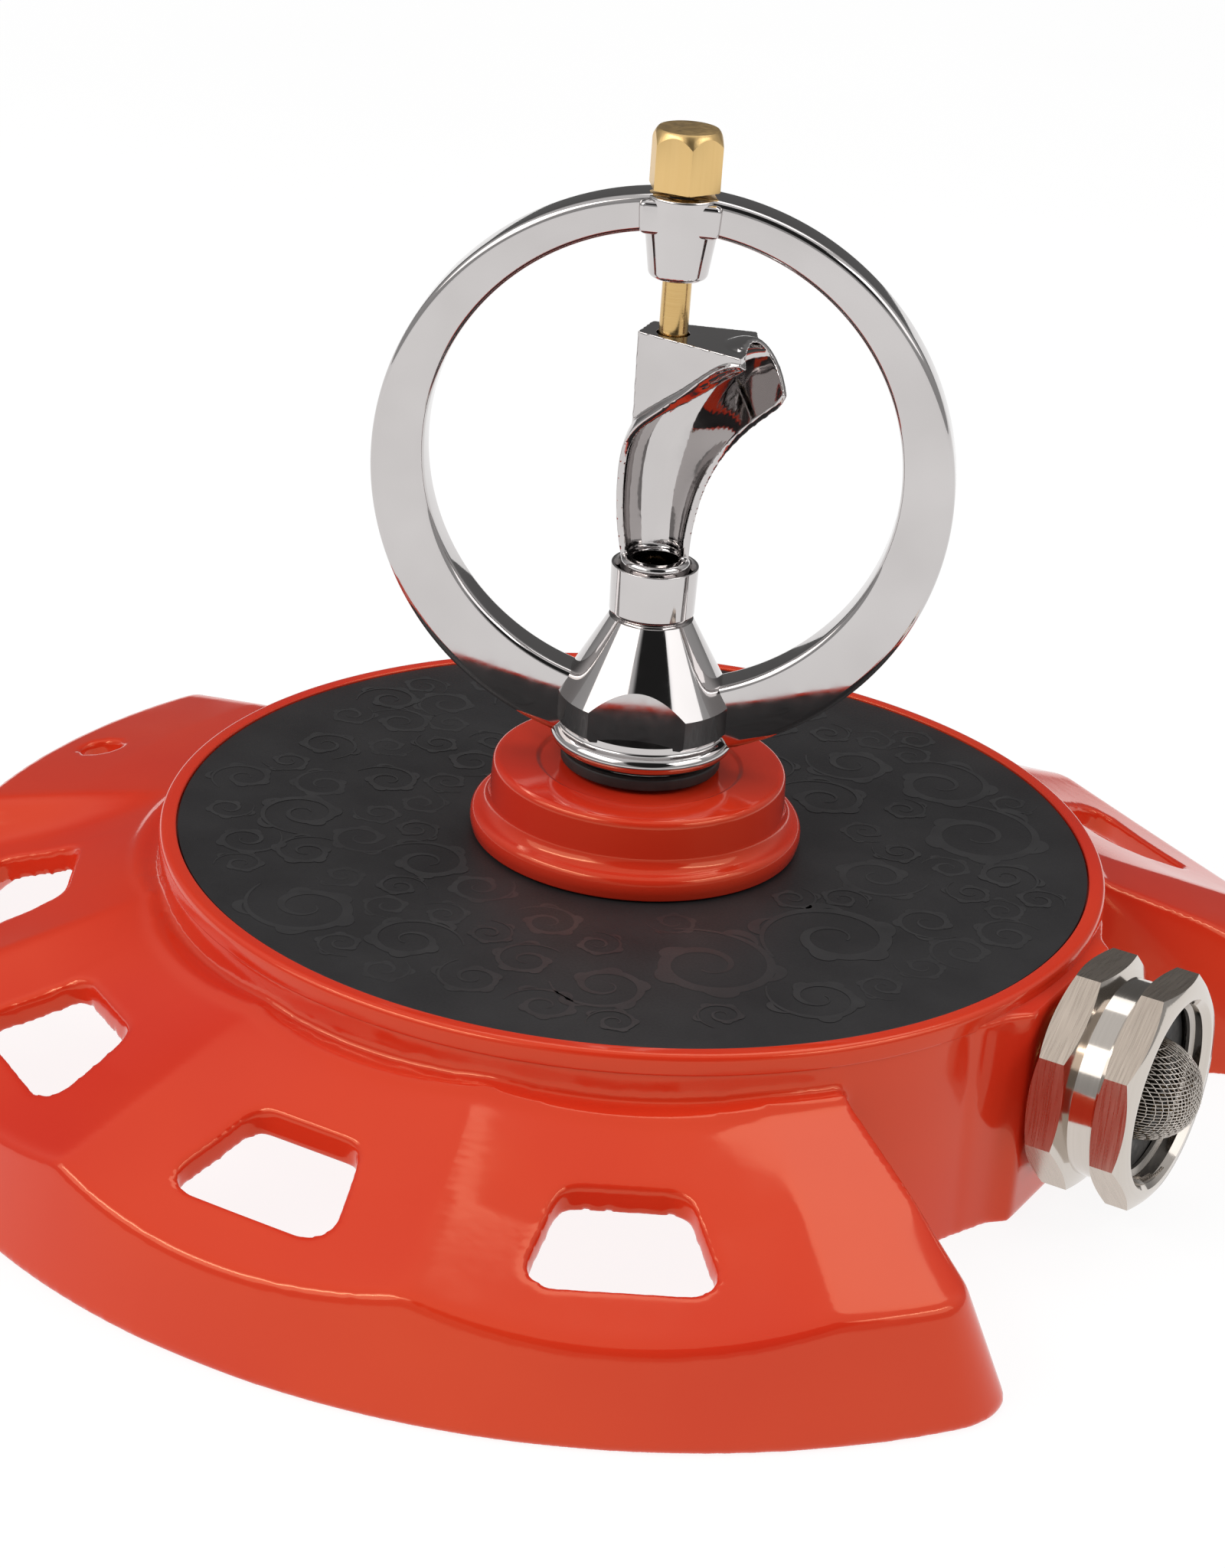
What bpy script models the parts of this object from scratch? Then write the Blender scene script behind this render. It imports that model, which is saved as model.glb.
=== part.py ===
"""Spinning ring lawn sprinkler on a cast base.

Units are metres, +Z is up and the sprinkler stands on z = 0. The hose inlet points
along +X. Every part hangs from the empty "spin_axis", which stands where the head
turns; the rotating head hangs from "head_frame", turned about that axis.
"""
import math

import bmesh
import bpy
from mathutils import Matrix, Vector

# ---------------------------------------------------------------- driving sizes
GAP = 0.0003                # kept between touching pieces
AXIS_X = 0.00875            # spin axis, so that the bounding box is centred on the origin
HEAD_YAW = math.radians(23.5)

RIM_RADIUS = 0.1095         # bottom edge of the base
WALL = 0.0028               # casting wall
WALL_DRAFT = 0.25           # outer wall leans in by this much per unit of height
DECK_Z = 0.035              # top face of the label disc
LABEL_RADIUS = 0.0671
LABEL_THICKNESS = 0.0008
DRUM_RADIUS = 0.0696
PLATE_TOP_Z = DECK_Z - LABEL_THICKNESS - GAP
PLATE_BOTTOM_Z = 0.031
SECTOR = math.radians(30)   # pitch of the radial ridges
FIRST_RIDGE = math.radians(45)    # ridge nearest the inlet, on either side
RIDGED_SECTORS = 4          # dished sectors on either side
RIDGE_Z = 0.0165            # outer top edge at a ridge
PAD_Z = 0.0212              # outer top edge of the stake pad, opposite the inlet
DISH_DEPTH = 0.0032         # how far that edge dips between two ridges
LEDGE_Z = 0.0288            # inner edge of the skirt
NOTCH_HALF = math.radians(30.6)
NOTCH_DRAFT = math.radians(194)     # notch angle gained per metre of height
WINDOW_INNER = 0.0828
WINDOW_OUTER = 0.0975
WINDOW_HALF_INNER = 0.0082
WINDOW_HALF_OUTER = 0.0130
STAKE_HOLE_AT = 0.0960
STAKE_HOLE_ANGLE = math.radians(182)
STAKE_HOLE_RADIUS = 0.0032

INLET_Z = 0.0204            # height of the hose inlet's axis
BOSS_FACE_X = 0.0715
PIPE_RADIUS = 0.0065
PIPE_BORE = 0.0052
TAILPIECE_RADIUS = 0.0090
NUT_ACROSS_FLATS = 0.0335
NUT_TURN = math.radians(18)
NUT_BACK_X = 0.0727
NUT_SHOULDER_X = 0.0793      # where the nut bears on the tailpiece's flange
NUT_FRONT_X = 0.0880
STRAINER_TIP_X = 0.0920
NUT_MOUTH_RADIUS = 0.01365  # 3/4 inch garden hose thread, female

COLLAR_TOP_Z = 0.0465
COLLAR_RADIUS = 0.0209
COLLAR_FLANGE_RADIUS = 0.0245
RISER_RADIUS = 0.0085
RISER_BORE = 0.0062
RISER_TOP_Z = COLLAR_TOP_Z - 0.0004
SPINDLE_RADIUS = 0.0040
SPINDLE_BORE = 0.0026
SPINDLE_TOP_Z = 0.0590
NOZZLE_RADIUS = 0.0036

FLANGE_Z = 0.0494           # underside of the head's flange
HUB_RADIUS = 0.0127
HUB_FLAT = 0.0106           # two wrench flats, front and back
HUB_SHOULDER_Z = 0.0577     # where the hub's cone begins
NECK_FOOT_RADIUS = 0.0060
NECK_FOOT_Z = 0.0696
NECK_RADIUS = 0.0063
NECK_TOP_Z = 0.0773
CUP_RADIUS = 0.0053
RING_OUTER = 0.0415
RING_OUTER_Z = 0.0905
RING_INNER = 0.0339
RING_INNER_Z = 0.0928
RING_DEPTH = 0.0064
BOSS_BOTTOM_Z = 0.1209
BOSS_TOP_Z = 0.1320

STEM_RADIUS = 0.00205
STEM_BOTTOM_Z = 0.1065
KNOB_BOTTOM_Z = 0.1324
KNOB_TOP_Z = 0.1406
KNOB_CORNER_RADIUS = 0.0053
KNOB_YAW = math.radians(-17)
SCOOP_TOP_Z = 0.1118

RED = (0.72, 0.06, 0.03, 1.0)
CHARCOAL = (0.04, 0.04, 0.042, 1.0)
CHROME = (0.80, 0.80, 0.82, 1.0)
BRASS = (0.78, 0.55, 0.22, 1.0)
NICKEL = (0.62, 0.58, 0.52, 1.0)
RUBBER = (0.015, 0.015, 0.015, 1.0)
ACETAL = (0.85, 0.85, 0.82, 1.0)
STEEL = (0.55, 0.55, 0.57, 1.0)


# ---------------------------------------------------------------- mesh helpers
def clear_scene():
    for old in list(bpy.data.objects):
        bpy.data.objects.remove(old, do_unlink=True)


def material(name, colour, metallic, roughness):
    made = bpy.data.materials.new(name)
    made.use_nodes = True
    shader = made.node_tree.nodes["Principled BSDF"]
    shader.inputs["Base Color"].default_value = colour
    shader.inputs["Metallic"].default_value = metallic
    shader.inputs["Roughness"].default_value = roughness
    return made


def add_object(name, bm, finish, parent):
    """Close the bmesh into one named, smooth-shaded object."""
    bmesh.ops.recalc_face_normals(bm, faces=bm.faces[:])
    mesh = bpy.data.meshes.new(name)
    bm.to_mesh(mesh)
    bm.free()
    if finish is not None:
        colour, metallic, roughness = finish
        mesh.materials.append(material(name, colour, metallic, roughness))
    mesh.shade_smooth()
    mesh.set_sharp_from_angle(angle=math.radians(35))
    made = bpy.data.objects.new(name, mesh)
    bpy.context.scene.collection.objects.link(made)
    made.parent = parent
    return made


def as_tool(tool):
    """A boolean operand stays in the file, hidden."""
    tool.hide_render = True
    tool.display_type = 'WIRE'
    return tool


def combine(target, tool, operation):
    as_tool(tool)
    modifier = target.modifiers.new(operation.lower(), 'BOOLEAN')
    modifier.object = tool
    modifier.operation = operation
    modifier.solver = 'EXACT'
    weld = target.modifiers.new("weld", 'WELD')
    weld.merge_threshold = 0.00001


def cylinder_frame(axis):
    """Unit vectors: along the axis, and the two that the turn starts from."""
    if axis == 'X':
        return Vector((1, 0, 0)), Vector((0, 1, 0)), Vector((0, 0, 1))
    return Vector((0, 0, 1)), Vector((1, 0, 0)), Vector((0, 1, 0))


def bridge_rings(bm, rings, close_rings, caps):
    """Faces between successive rings of vertices."""
    count = len(rings)
    last = count if close_rings else count - 1
    for i in range(last):
        first, second = rings[i], rings[(i + 1) % count]
        size = len(first)
        for j in range(size):
            k = (j + 1) % size
            bm.faces.new((first[j], first[k], second[k], second[j]))
    if caps:
        bm.faces.new(rings[0])
        bm.faces.new(rings[-1][::-1])


def turned(name, profile, segments, finish, parent, axis='Z', centre=(0, 0, 0), phase=0.0):
    """Turn (radius, height) points about an axis.

    A profile whose ends lie on the axis makes a solid; any other is a closed ring.
    """
    bm = bmesh.new()
    along, side, up = cylinder_frame(axis)
    centre = Vector(centre)
    solid = profile[0][0] == 0.0 and profile[-1][0] == 0.0
    rings = []
    poles = []
    for radius, height in profile:
        if radius == 0.0:
            poles.append(bm.verts.new(centre + along * height))
            continue
        ring = []
        for i in range(segments):
            angle = phase + 2 * math.pi * i / segments
            spoke = side * math.cos(angle) + up * math.sin(angle)
            ring.append(bm.verts.new(centre + along * height + spoke * radius))
        rings.append(ring)
    bridge_rings(bm, rings, close_rings=not solid, caps=False)
    if solid:
        for pole, ring in ((poles[0], rings[0]), (poles[1], rings[-1])):
            for i in range(segments):
                bm.faces.new((pole, ring[i], ring[(i + 1) % segments]))
    return add_object(name, bm, finish, parent)


def rod(name, radius, low, high, segments, finish, parent, axis='Z', centre=(0, 0, 0), phase=0.0):
    profile = [(0.0, low), (radius, low), (radius, high), (0.0, high)]
    return turned(name, profile, segments, finish, parent, axis, centre, phase)


def tube(name, bore, radius, low, high, segments, finish, parent, axis='Z', centre=(0, 0, 0)):
    profile = [(bore, low), (radius, low), (radius, high), (bore, high)]
    return turned(name, profile, segments, finish, parent, axis, centre)


def prism(name, outline, low, high, finish, parent):
    """Extrude (x, y) points from one height to another."""
    bm = bmesh.new()
    rings = [[bm.verts.new((x, y, z)) for x, y in outline] for z in (low, high)]
    bridge_rings(bm, rings, close_rings=False, caps=True)
    return add_object(name, bm, finish, parent)


def o_ring(name, radius, thickness, at, finish, parent, axis='Z', centre=(0, 0, 0)):
    sides = 6
    profile = []
    for i in range(sides):
        angle = 2 * math.pi * (i + 0.5) / sides
        profile.append((radius + thickness * math.cos(angle), at + thickness * math.sin(angle)))
    return turned(name, profile, 20, finish, parent, axis, centre)


# ---------------------------------------------------------------- base casting
def dish(angle):
    """0 on a ridge, 1 midway between two; the stake pad and the notch ends are flat."""
    sector = (abs(math.remainder(angle, 2 * math.pi)) - FIRST_RIDGE) / SECTOR
    if sector < 0.0 or sector > RIDGED_SECTORS:
        return 0.0
    step = sector % 1.0
    return 4 * step * (1 - step)


def pad_lift(angle):
    sector = (abs(math.remainder(angle, 2 * math.pi)) - FIRST_RIDGE) / SECTOR
    step = min(max(6 * (sector - RIDGED_SECTORS) + 1, 0.0), 1.0)
    return step * step * (3 - 2 * step)


def skirt_edge(angle):
    """Radius and height of the skirt's outer top edge."""
    height = RIDGE_Z + (PAD_Z - RIDGE_Z) * pad_lift(angle) - DISH_DEPTH * dish(angle)
    return RIM_RADIUS - WALL_DRAFT * height, height


def notch_end(height):
    return NOTCH_HALF + NOTCH_DRAFT * max(height, 0.0)


def skirt_section(angle, corner):
    """Closed (radius, height) outline of the solid skirt; corner pulls the rim in."""
    hollow = dish(angle)
    edge_r, edge_z = skirt_edge(angle)
    ledge_r = 0.0716 + 0.0016 * hollow
    ledge_z = LEDGE_Z - 0.0009 * hollow
    slope = (edge_z - ledge_z) / (edge_r - ledge_r)
    middle_r = 0.5 * (ledge_r + edge_r)
    middle_z = ledge_z + slope * (middle_r - ledge_r) - 0.0008 * hollow
    return [
        (0.0680, ledge_z + 0.0006),
        (0.0700, ledge_z + 0.0004),
        (ledge_r, ledge_z),
        (ledge_r + 0.0014, ledge_z - 0.0008),
        (middle_r, middle_z),
        (edge_r - corner - 0.0018, edge_z - slope * 0.0018),
        (edge_r - corner - 0.0004, edge_z - 0.0003),
        (edge_r - corner + 0.0002, edge_z - 0.0016),
        (RIM_RADIUS - corner, 0.0008),
        (RIM_RADIUS - corner - 0.0005, 0.0),
        (0.0680, 0.0),
    ]


def cavity_section(angle):
    """Closed outline of the hollow under the skirt."""
    hollow = dish(angle)
    edge_r, edge_z = skirt_edge(angle)
    inner_z = LEDGE_Z - 0.0031 - 0.0009 * hollow
    return [
        (0.0600, inner_z),
        (0.0712, inner_z),
        (0.5 * (0.0712 + edge_r) - 0.001, 0.5 * (inner_z + edge_z - WALL) - 0.0012 * hollow),
        (edge_r - 0.0026, edge_z - WALL - 0.0003),
        (RIM_RADIUS - WALL, -0.002),
        (0.0600, -0.002),
    ]


def swept_skirt(name, section, inset, corner_radius, parent):
    """Sweep a section round the base, from one end of the notch to the other."""
    steps = 58
    bm = bmesh.new()
    rings = []
    ends = [0.0, 0.12, 0.4, 1.0] if corner_radius else [0.0]
    fractions = [e * corner_radius / RIM_RADIUS for e in ends]
    span = math.pi - notch_end(RIDGE_Z)
    angles = [math.pi - span + f for f in fractions]
    angles += [math.pi - span + 2 * span * i / steps for i in range(1, steps)]
    angles += [math.pi + span - f for f in reversed(fractions)]
    for angle in angles:
        reach = (min(angle - (math.pi - span), math.pi + span - angle)) * RIM_RADIUS
        short = max(corner_radius - reach, 0.0)
        corner = 0.0
        if corner_radius:
            corner = corner_radius - math.sqrt(corner_radius ** 2 - short ** 2)
        ring = []
        near_end = min(reach / 0.012, 1.0)
        side = 1 if angle < math.pi else -1
        for radius, height in section(angle, corner) if corner_radius else section(angle):
            drift = notch_end(height) - notch_end(RIDGE_Z) + math.asin(inset / radius)
            at = angle + side * drift * (1 - near_end)
            ring.append(bm.verts.new((radius * math.cos(at), radius * math.sin(at), height)))
        rings.append(ring)
    bridge_rings(bm, rings, close_rings=False, caps=True)
    return add_object(name, bm, None, parent)


def window_outline(centre_angle):
    """Rounded trapezoid between two radii."""
    corners = [
        (WINDOW_INNER, -WINDOW_HALF_INNER),
        (WINDOW_OUTER, -WINDOW_HALF_OUTER),
        (WINDOW_OUTER, WINDOW_HALF_OUTER),
        (WINDOW_INNER, WINDOW_HALF_INNER),
    ]
    outline = []
    rounding = 0.0026
    for i, (radius, across) in enumerate(corners):
        here = Vector((radius, across))
        before = Vector(corners[i - 1]) - here
        after = Vector(corners[(i + 1) % 4]) - here
        start = here + before.normalized() * rounding
        end = here + after.normalized() * rounding
        for step in (0.0, 0.33, 0.67, 1.0):
            outline.append(start.lerp(here, step).lerp(here.lerp(end, step), step))
    turn = Matrix.Rotation(centre_angle, 2)
    sag = 1.0 / (2 * WINDOW_OUTER)
    bowed = [Vector((p.x - sag * (p.y ** 2 - WINDOW_HALF_OUTER ** 2 * 0.5), p.y)) for p in outline]
    return [tuple(turn @ p) for p in bowed]


def base_casting(finish, parent):
    """Drum, dished skirt with windows, and the boss that the inlet screws into."""
    drum = turned("base_casting", [
        (0.0, 0.0), (DRUM_RADIUS + 0.0004, 0.0), (DRUM_RADIUS + 0.0002, 0.020),
        (DRUM_RADIUS, 0.0343), (DRUM_RADIUS - 0.0006, 0.0351), (DRUM_RADIUS - 0.0014, 0.0353),
        (LABEL_RADIUS + 0.0004, 0.0351), (LABEL_RADIUS + GAP, PLATE_TOP_Z),
        (0.0, PLATE_TOP_Z),
    ], 72, finish, parent)
    combine(drum, swept_skirt("skirt_shape", skirt_section, 0.0, 0.007, parent), 'UNION')

    boss_half = 0.0128
    boss = prism("boss_shape", [
        (0.0600, -0.024), (0.0665, -0.0205), (0.0700, -0.0155), (BOSS_FACE_X, -boss_half),
        (BOSS_FACE_X, boss_half), (0.0700, 0.0155), (0.0665, 0.0205), (0.0600, 0.024),
    ], 0.0, 0.0335, None, parent)
    combine(drum, boss, 'UNION')

    hollow = rod("drum_hollow", DRUM_RADIUS - WALL, -0.002, PLATE_BOTTOM_Z, 72, None, parent)
    combine(drum, hollow, 'DIFFERENCE')
    cavity = swept_skirt("skirt_hollow", cavity_section, WALL, 0.0, parent)
    combine(drum, cavity, 'DIFFERENCE')

    socket = rod("socket_shape", 0.0120, 0.050, 0.0695, 24, None, parent, 'X', (0, 0, INLET_Z))
    combine(drum, socket, 'UNION')
    bore = rod("inlet_bore", TAILPIECE_RADIUS + GAP, 0.045, 0.080, 24, None, parent, 'X', (0, 0, INLET_Z))
    combine(drum, bore, 'DIFFERENCE')
    hole = rod("riser_hole", RISER_RADIUS + GAP, 0.025, 0.040, 24, None, parent)
    combine(drum, hole, 'DIFFERENCE')
    for i in range(3):
        x, y = screw_place(i)
        hole = rod(f"screw_hole_{i}", 0.0020, 0.025, 0.040, 10, None, parent, 'Z', (x, y, 0))
        combine(drum, hole, 'DIFFERENCE')

    for sign in (-1, 1):
        for sector in range(RIDGED_SECTORS):
            outline = window_outline(sign * (FIRST_RIDGE + (sector + 0.5) * SECTOR))
            window = prism(f"window_{sector}_{sign}", outline, 0.004, 0.034, None, parent)
            combine(drum, window, 'DIFFERENCE')
    stake_x = STAKE_HOLE_AT * math.cos(STAKE_HOLE_ANGLE)
    stake_y = STAKE_HOLE_AT * math.sin(STAKE_HOLE_ANGLE)
    stake = rod("stake_hole", STAKE_HOLE_RADIUS, 0.010, 0.034, 16, None, parent, 'Z',
                (stake_x, stake_y, 0))
    combine(drum, stake, 'DIFFERENCE')
    return drum


def screw_place(index):
    """Centre of one of the three screws that clamp riser, base and collar."""
    angle = math.radians(60 + 120 * index)
    return 0.0135 * math.cos(angle), 0.0135 * math.sin(angle)


# ---------------------------------------------------------------- fixed pieces
def fixed_pieces(finishes, parent):
    red, charcoal, brass, rubber, acetal, steel = finishes
    label_inner = 0.0185
    tube("label_disc", label_inner, LABEL_RADIUS, DECK_Z - LABEL_THICKNESS, DECK_Z, 72,
         charcoal, parent)

    collar = turned("bearing_collar", [
        (RISER_RADIUS + GAP, PLATE_TOP_Z + GAP), (label_inner - GAP, PLATE_TOP_Z + GAP),
        (label_inner - GAP, DECK_Z + GAP), (COLLAR_FLANGE_RADIUS - 0.0006, DECK_Z + GAP),
        (COLLAR_FLANGE_RADIUS, 0.0366), (COLLAR_FLANGE_RADIUS - 0.0002, 0.0382),
        (COLLAR_FLANGE_RADIUS - 0.0016, 0.0393), (COLLAR_RADIUS + 0.0010, 0.0400),
        (COLLAR_RADIUS, 0.0412), (COLLAR_RADIUS - 0.0003, 0.0454),
        (COLLAR_RADIUS - 0.0013, COLLAR_TOP_Z), (0.0152, COLLAR_TOP_Z),
        (0.0146, COLLAR_TOP_Z - 0.0004), (RISER_RADIUS + GAP, COLLAR_TOP_Z - 0.0004),
    ], 40, red, parent)
    for i in range(3):
        x, y = screw_place(i)
        hole = rod(f"collar_hole_{i}", 0.0018, 0.030, 0.0425, 10, None, parent, 'Z', (x, y, 0))
        combine(collar, hole, 'DIFFERENCE')
        turned(f"riser_screw_{i + 1}", [
            (0.0, 0.0242), (0.0027, 0.0242), (0.0030, 0.0246), (0.0030, 0.0268),
            (0.0015, 0.0268), (0.0015, 0.0416), (0.0, 0.0420),
        ], 10, steel, parent, 'Z', (x, y, 0))

    riser = turned("riser_body", [
        (0.0, 0.0095), (0.0088, 0.0095), (0.0096, 0.0103), (0.0096, 0.0271),
        (0.0172, 0.0271), (0.0172, 0.0304), (RISER_RADIUS, 0.0304),
        (RISER_RADIUS, RISER_TOP_Z), (0.0, RISER_TOP_Z),
    ], 32, brass, parent)
    at_inlet = (0, 0, INLET_Z)
    port = rod("port_shape", PIPE_RADIUS + 0.0019, 0.002, 0.0190, 24, None, parent, 'X', at_inlet)
    combine(riser, port, 'UNION')
    bore = turned("riser_bore", [
        (0.0, 0.0125), (0.0074, 0.0125), (0.0074, 0.0270), (RISER_BORE, 0.0270),
        (RISER_BORE, 0.0500), (0.0, 0.0500),
    ], 24, None, parent)
    combine(riser, bore, 'DIFFERENCE')
    port_bore = turned("port_bore", [
        (0.0, 0.0), (PIPE_BORE, 0.0), (PIPE_BORE, 0.0100), (PIPE_RADIUS + GAP, 0.0100),
        (PIPE_RADIUS + GAP, 0.0220), (0.0, 0.0220),
    ], 24, None, parent, 'X', at_inlet)
    combine(riser, port_bore, 'DIFFERENCE')
    for i in range(3):
        x, y = screw_place(i)
        hole = rod(f"riser_hole_{i}", 0.0018, 0.025, 0.032, 10, None, parent, 'Z', (x, y, 0))
        combine(riser, hole, 'DIFFERENCE')

    tube("feed_pipe", PIPE_BORE, PIPE_RADIUS, 0.0120, 0.0620, 24, brass, parent, 'X', at_inlet)
    tube("inner_pipe_seal", PIPE_BORE, PIPE_RADIUS, 0.0103, 0.0117, 20, rubber, parent, 'X',
         at_inlet)
    tube("outer_pipe_seal", PIPE_BORE, PIPE_RADIUS, 0.0623, 0.0637, 20, rubber, parent, 'X',
         at_inlet)
    tube("bearing_bush", SPINDLE_RADIUS + GAP, RISER_BORE - GAP, 0.0273, 0.0434, 24,
         acetal, parent)
    o_ring("spindle_seal", 0.5 * (SPINDLE_RADIUS + RISER_BORE), 0.0008, 0.0446, rubber, parent)
    tube("thrust_washer", SPINDLE_RADIUS + 0.0005, 0.0117, COLLAR_TOP_Z + GAP, 0.0486, 32,
         rubber, parent)
    tube("wear_washer", SPINDLE_RADIUS + GAP, 0.0068, 0.0258, 0.0267, 24, acetal, parent)

    turned("inlet_tailpiece", [
        (PIPE_BORE, 0.0640), (PIPE_RADIUS + GAP, 0.0640), (PIPE_RADIUS + GAP, 0.0560),
        (TAILPIECE_RADIUS, 0.0560), (TAILPIECE_RADIUS, NUT_SHOULDER_X + GAP),
        (0.0124, NUT_SHOULDER_X + GAP), (0.0124, NUT_SHOULDER_X + 0.0020),
        (PIPE_BORE, NUT_SHOULDER_X + 0.0020),
    ], 28, brass, parent, 'X', at_inlet)


# ---------------------------------------------------------------- swivel nut
def inlet_nut(finish, parent):
    """Eight-sided swivel nut with a waist, threaded inside its mouth."""
    centre = (0, 0, INLET_Z)
    flat = 0.5 * NUT_ACROSS_FLATS
    waist_low = NUT_BACK_X + 0.0055
    waist_high = NUT_BACK_X + 0.0098
    corner = flat / math.cos(math.pi / 8)
    nut = rod("inlet_nut", corner, NUT_BACK_X - 0.001, NUT_FRONT_X + 0.001, 8, finish, parent, 'X',
              centre, NUT_TURN)
    turned_shape = turned("nut_turned_shape", [
        (0.0, NUT_BACK_X), (flat - 0.0004, NUT_BACK_X), (flat + 0.0016, NUT_BACK_X + 0.0011),
        (flat + 0.0016, waist_low - 0.0009), (flat - 0.0006, waist_low + 0.0004),
        (flat - 0.0015, waist_low + 0.0006), (flat - 0.0015, waist_high - 0.0006),
        (flat - 0.0006, waist_high - 0.0004), (flat + 0.0016, waist_high + 0.0009),
        (flat + 0.0016, NUT_FRONT_X - 0.0018), (flat - 0.0007, NUT_FRONT_X),
        (0.0, NUT_FRONT_X),
    ], 40, None, parent, 'X', centre)
    combine(nut, turned_shape, 'INTERSECT')
    mouth = turned("nut_mouth_shape", [
        (0.0, 0.070), (TAILPIECE_RADIUS + GAP, 0.070), (TAILPIECE_RADIUS + GAP, NUT_SHOULDER_X),
        (0.0129, NUT_SHOULDER_X), (0.0129, NUT_FRONT_X - 0.0008),
        (NUT_MOUTH_RADIUS, NUT_FRONT_X + 0.0004), (NUT_MOUTH_RADIUS, 0.0920), (0.0, 0.0920),
    ], 32, None, parent, 'X', centre)
    combine(nut, mouth, 'DIFFERENCE')
    return nut


def strainer(finishes, parent):
    """Domed wire screen in its rubber hose washer."""
    steel, rubber = finishes
    centre = (0, 0, INLET_Z)
    washer_low = NUT_SHOULDER_X + 0.0023
    washer_high = washer_low + 0.0026
    turned("hose_washer", [
        (0.0092, washer_low), (0.0126, washer_low), (0.0126, washer_high),
        (0.0078, washer_high), (0.0078, washer_high - 0.0008),
        (0.0092, washer_high - 0.0008),
    ], 28, rubber, parent, 'X', centre)
    dome = []
    steps = 6
    base_x = washer_low + 0.0002
    for shell in (0.0, 0.0004):
        arc = []
        for i in range(steps):
            turn = 0.5 * math.pi * i / steps
            radius = (0.0074 - shell) * math.cos(turn) ** 0.8
            reach = (STRAINER_TIP_X - shell - base_x - 0.0015) * math.sin(turn)
            arc.append((radius, base_x + 0.0015 + reach))
        dome.append(arc)
    outer, inner = dome
    profile = [(0.0089, base_x), (0.0089, base_x + 0.0010), (0.0076, base_x + 0.0012)]
    profile += outer[1:]
    profile += [(0.0004, STRAINER_TIP_X), (0.0004, STRAINER_TIP_X - 0.0004)]
    profile += inner[:0:-1]
    profile += [(0.0070, base_x)]
    return turned("strainer_screen", profile, 24, steel, parent, 'X', centre)


# ---------------------------------------------------------------- rotating head
def ring_shape(name, finish, parent):
    """Ring whose inner circle sits higher than its outer one, so its foot is thicker."""
    steps = 48
    bevel = 0.0014
    half = 0.5 * RING_DEPTH
    bm = bmesh.new()
    rings = []
    for i in range(steps):
        angle = 2 * math.pi * i / steps
        out = Vector((math.cos(angle), 0, math.sin(angle)))
        outer = Vector((0, 0, RING_OUTER_Z)) + out * RING_OUTER
        inner = Vector((0, 0, RING_INNER_Z)) + out * RING_INNER
        across = (outer - inner).normalized()
        section = []
        for edge, sign in ((outer, -1), (inner, 1)):
            for y, pull in ((-half, bevel), (-half + bevel, 0.0), (half - bevel, 0.0), (half, bevel)):
                y_here = y if sign < 0 else -y
                section.append(edge + across * sign * pull + Vector((0, y_here, 0)))
        rings.append([bm.verts.new(p) for p in section])
    bridge_rings(bm, rings, close_rings=True, caps=False)
    return add_object(name, bm, finish, parent)


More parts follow.
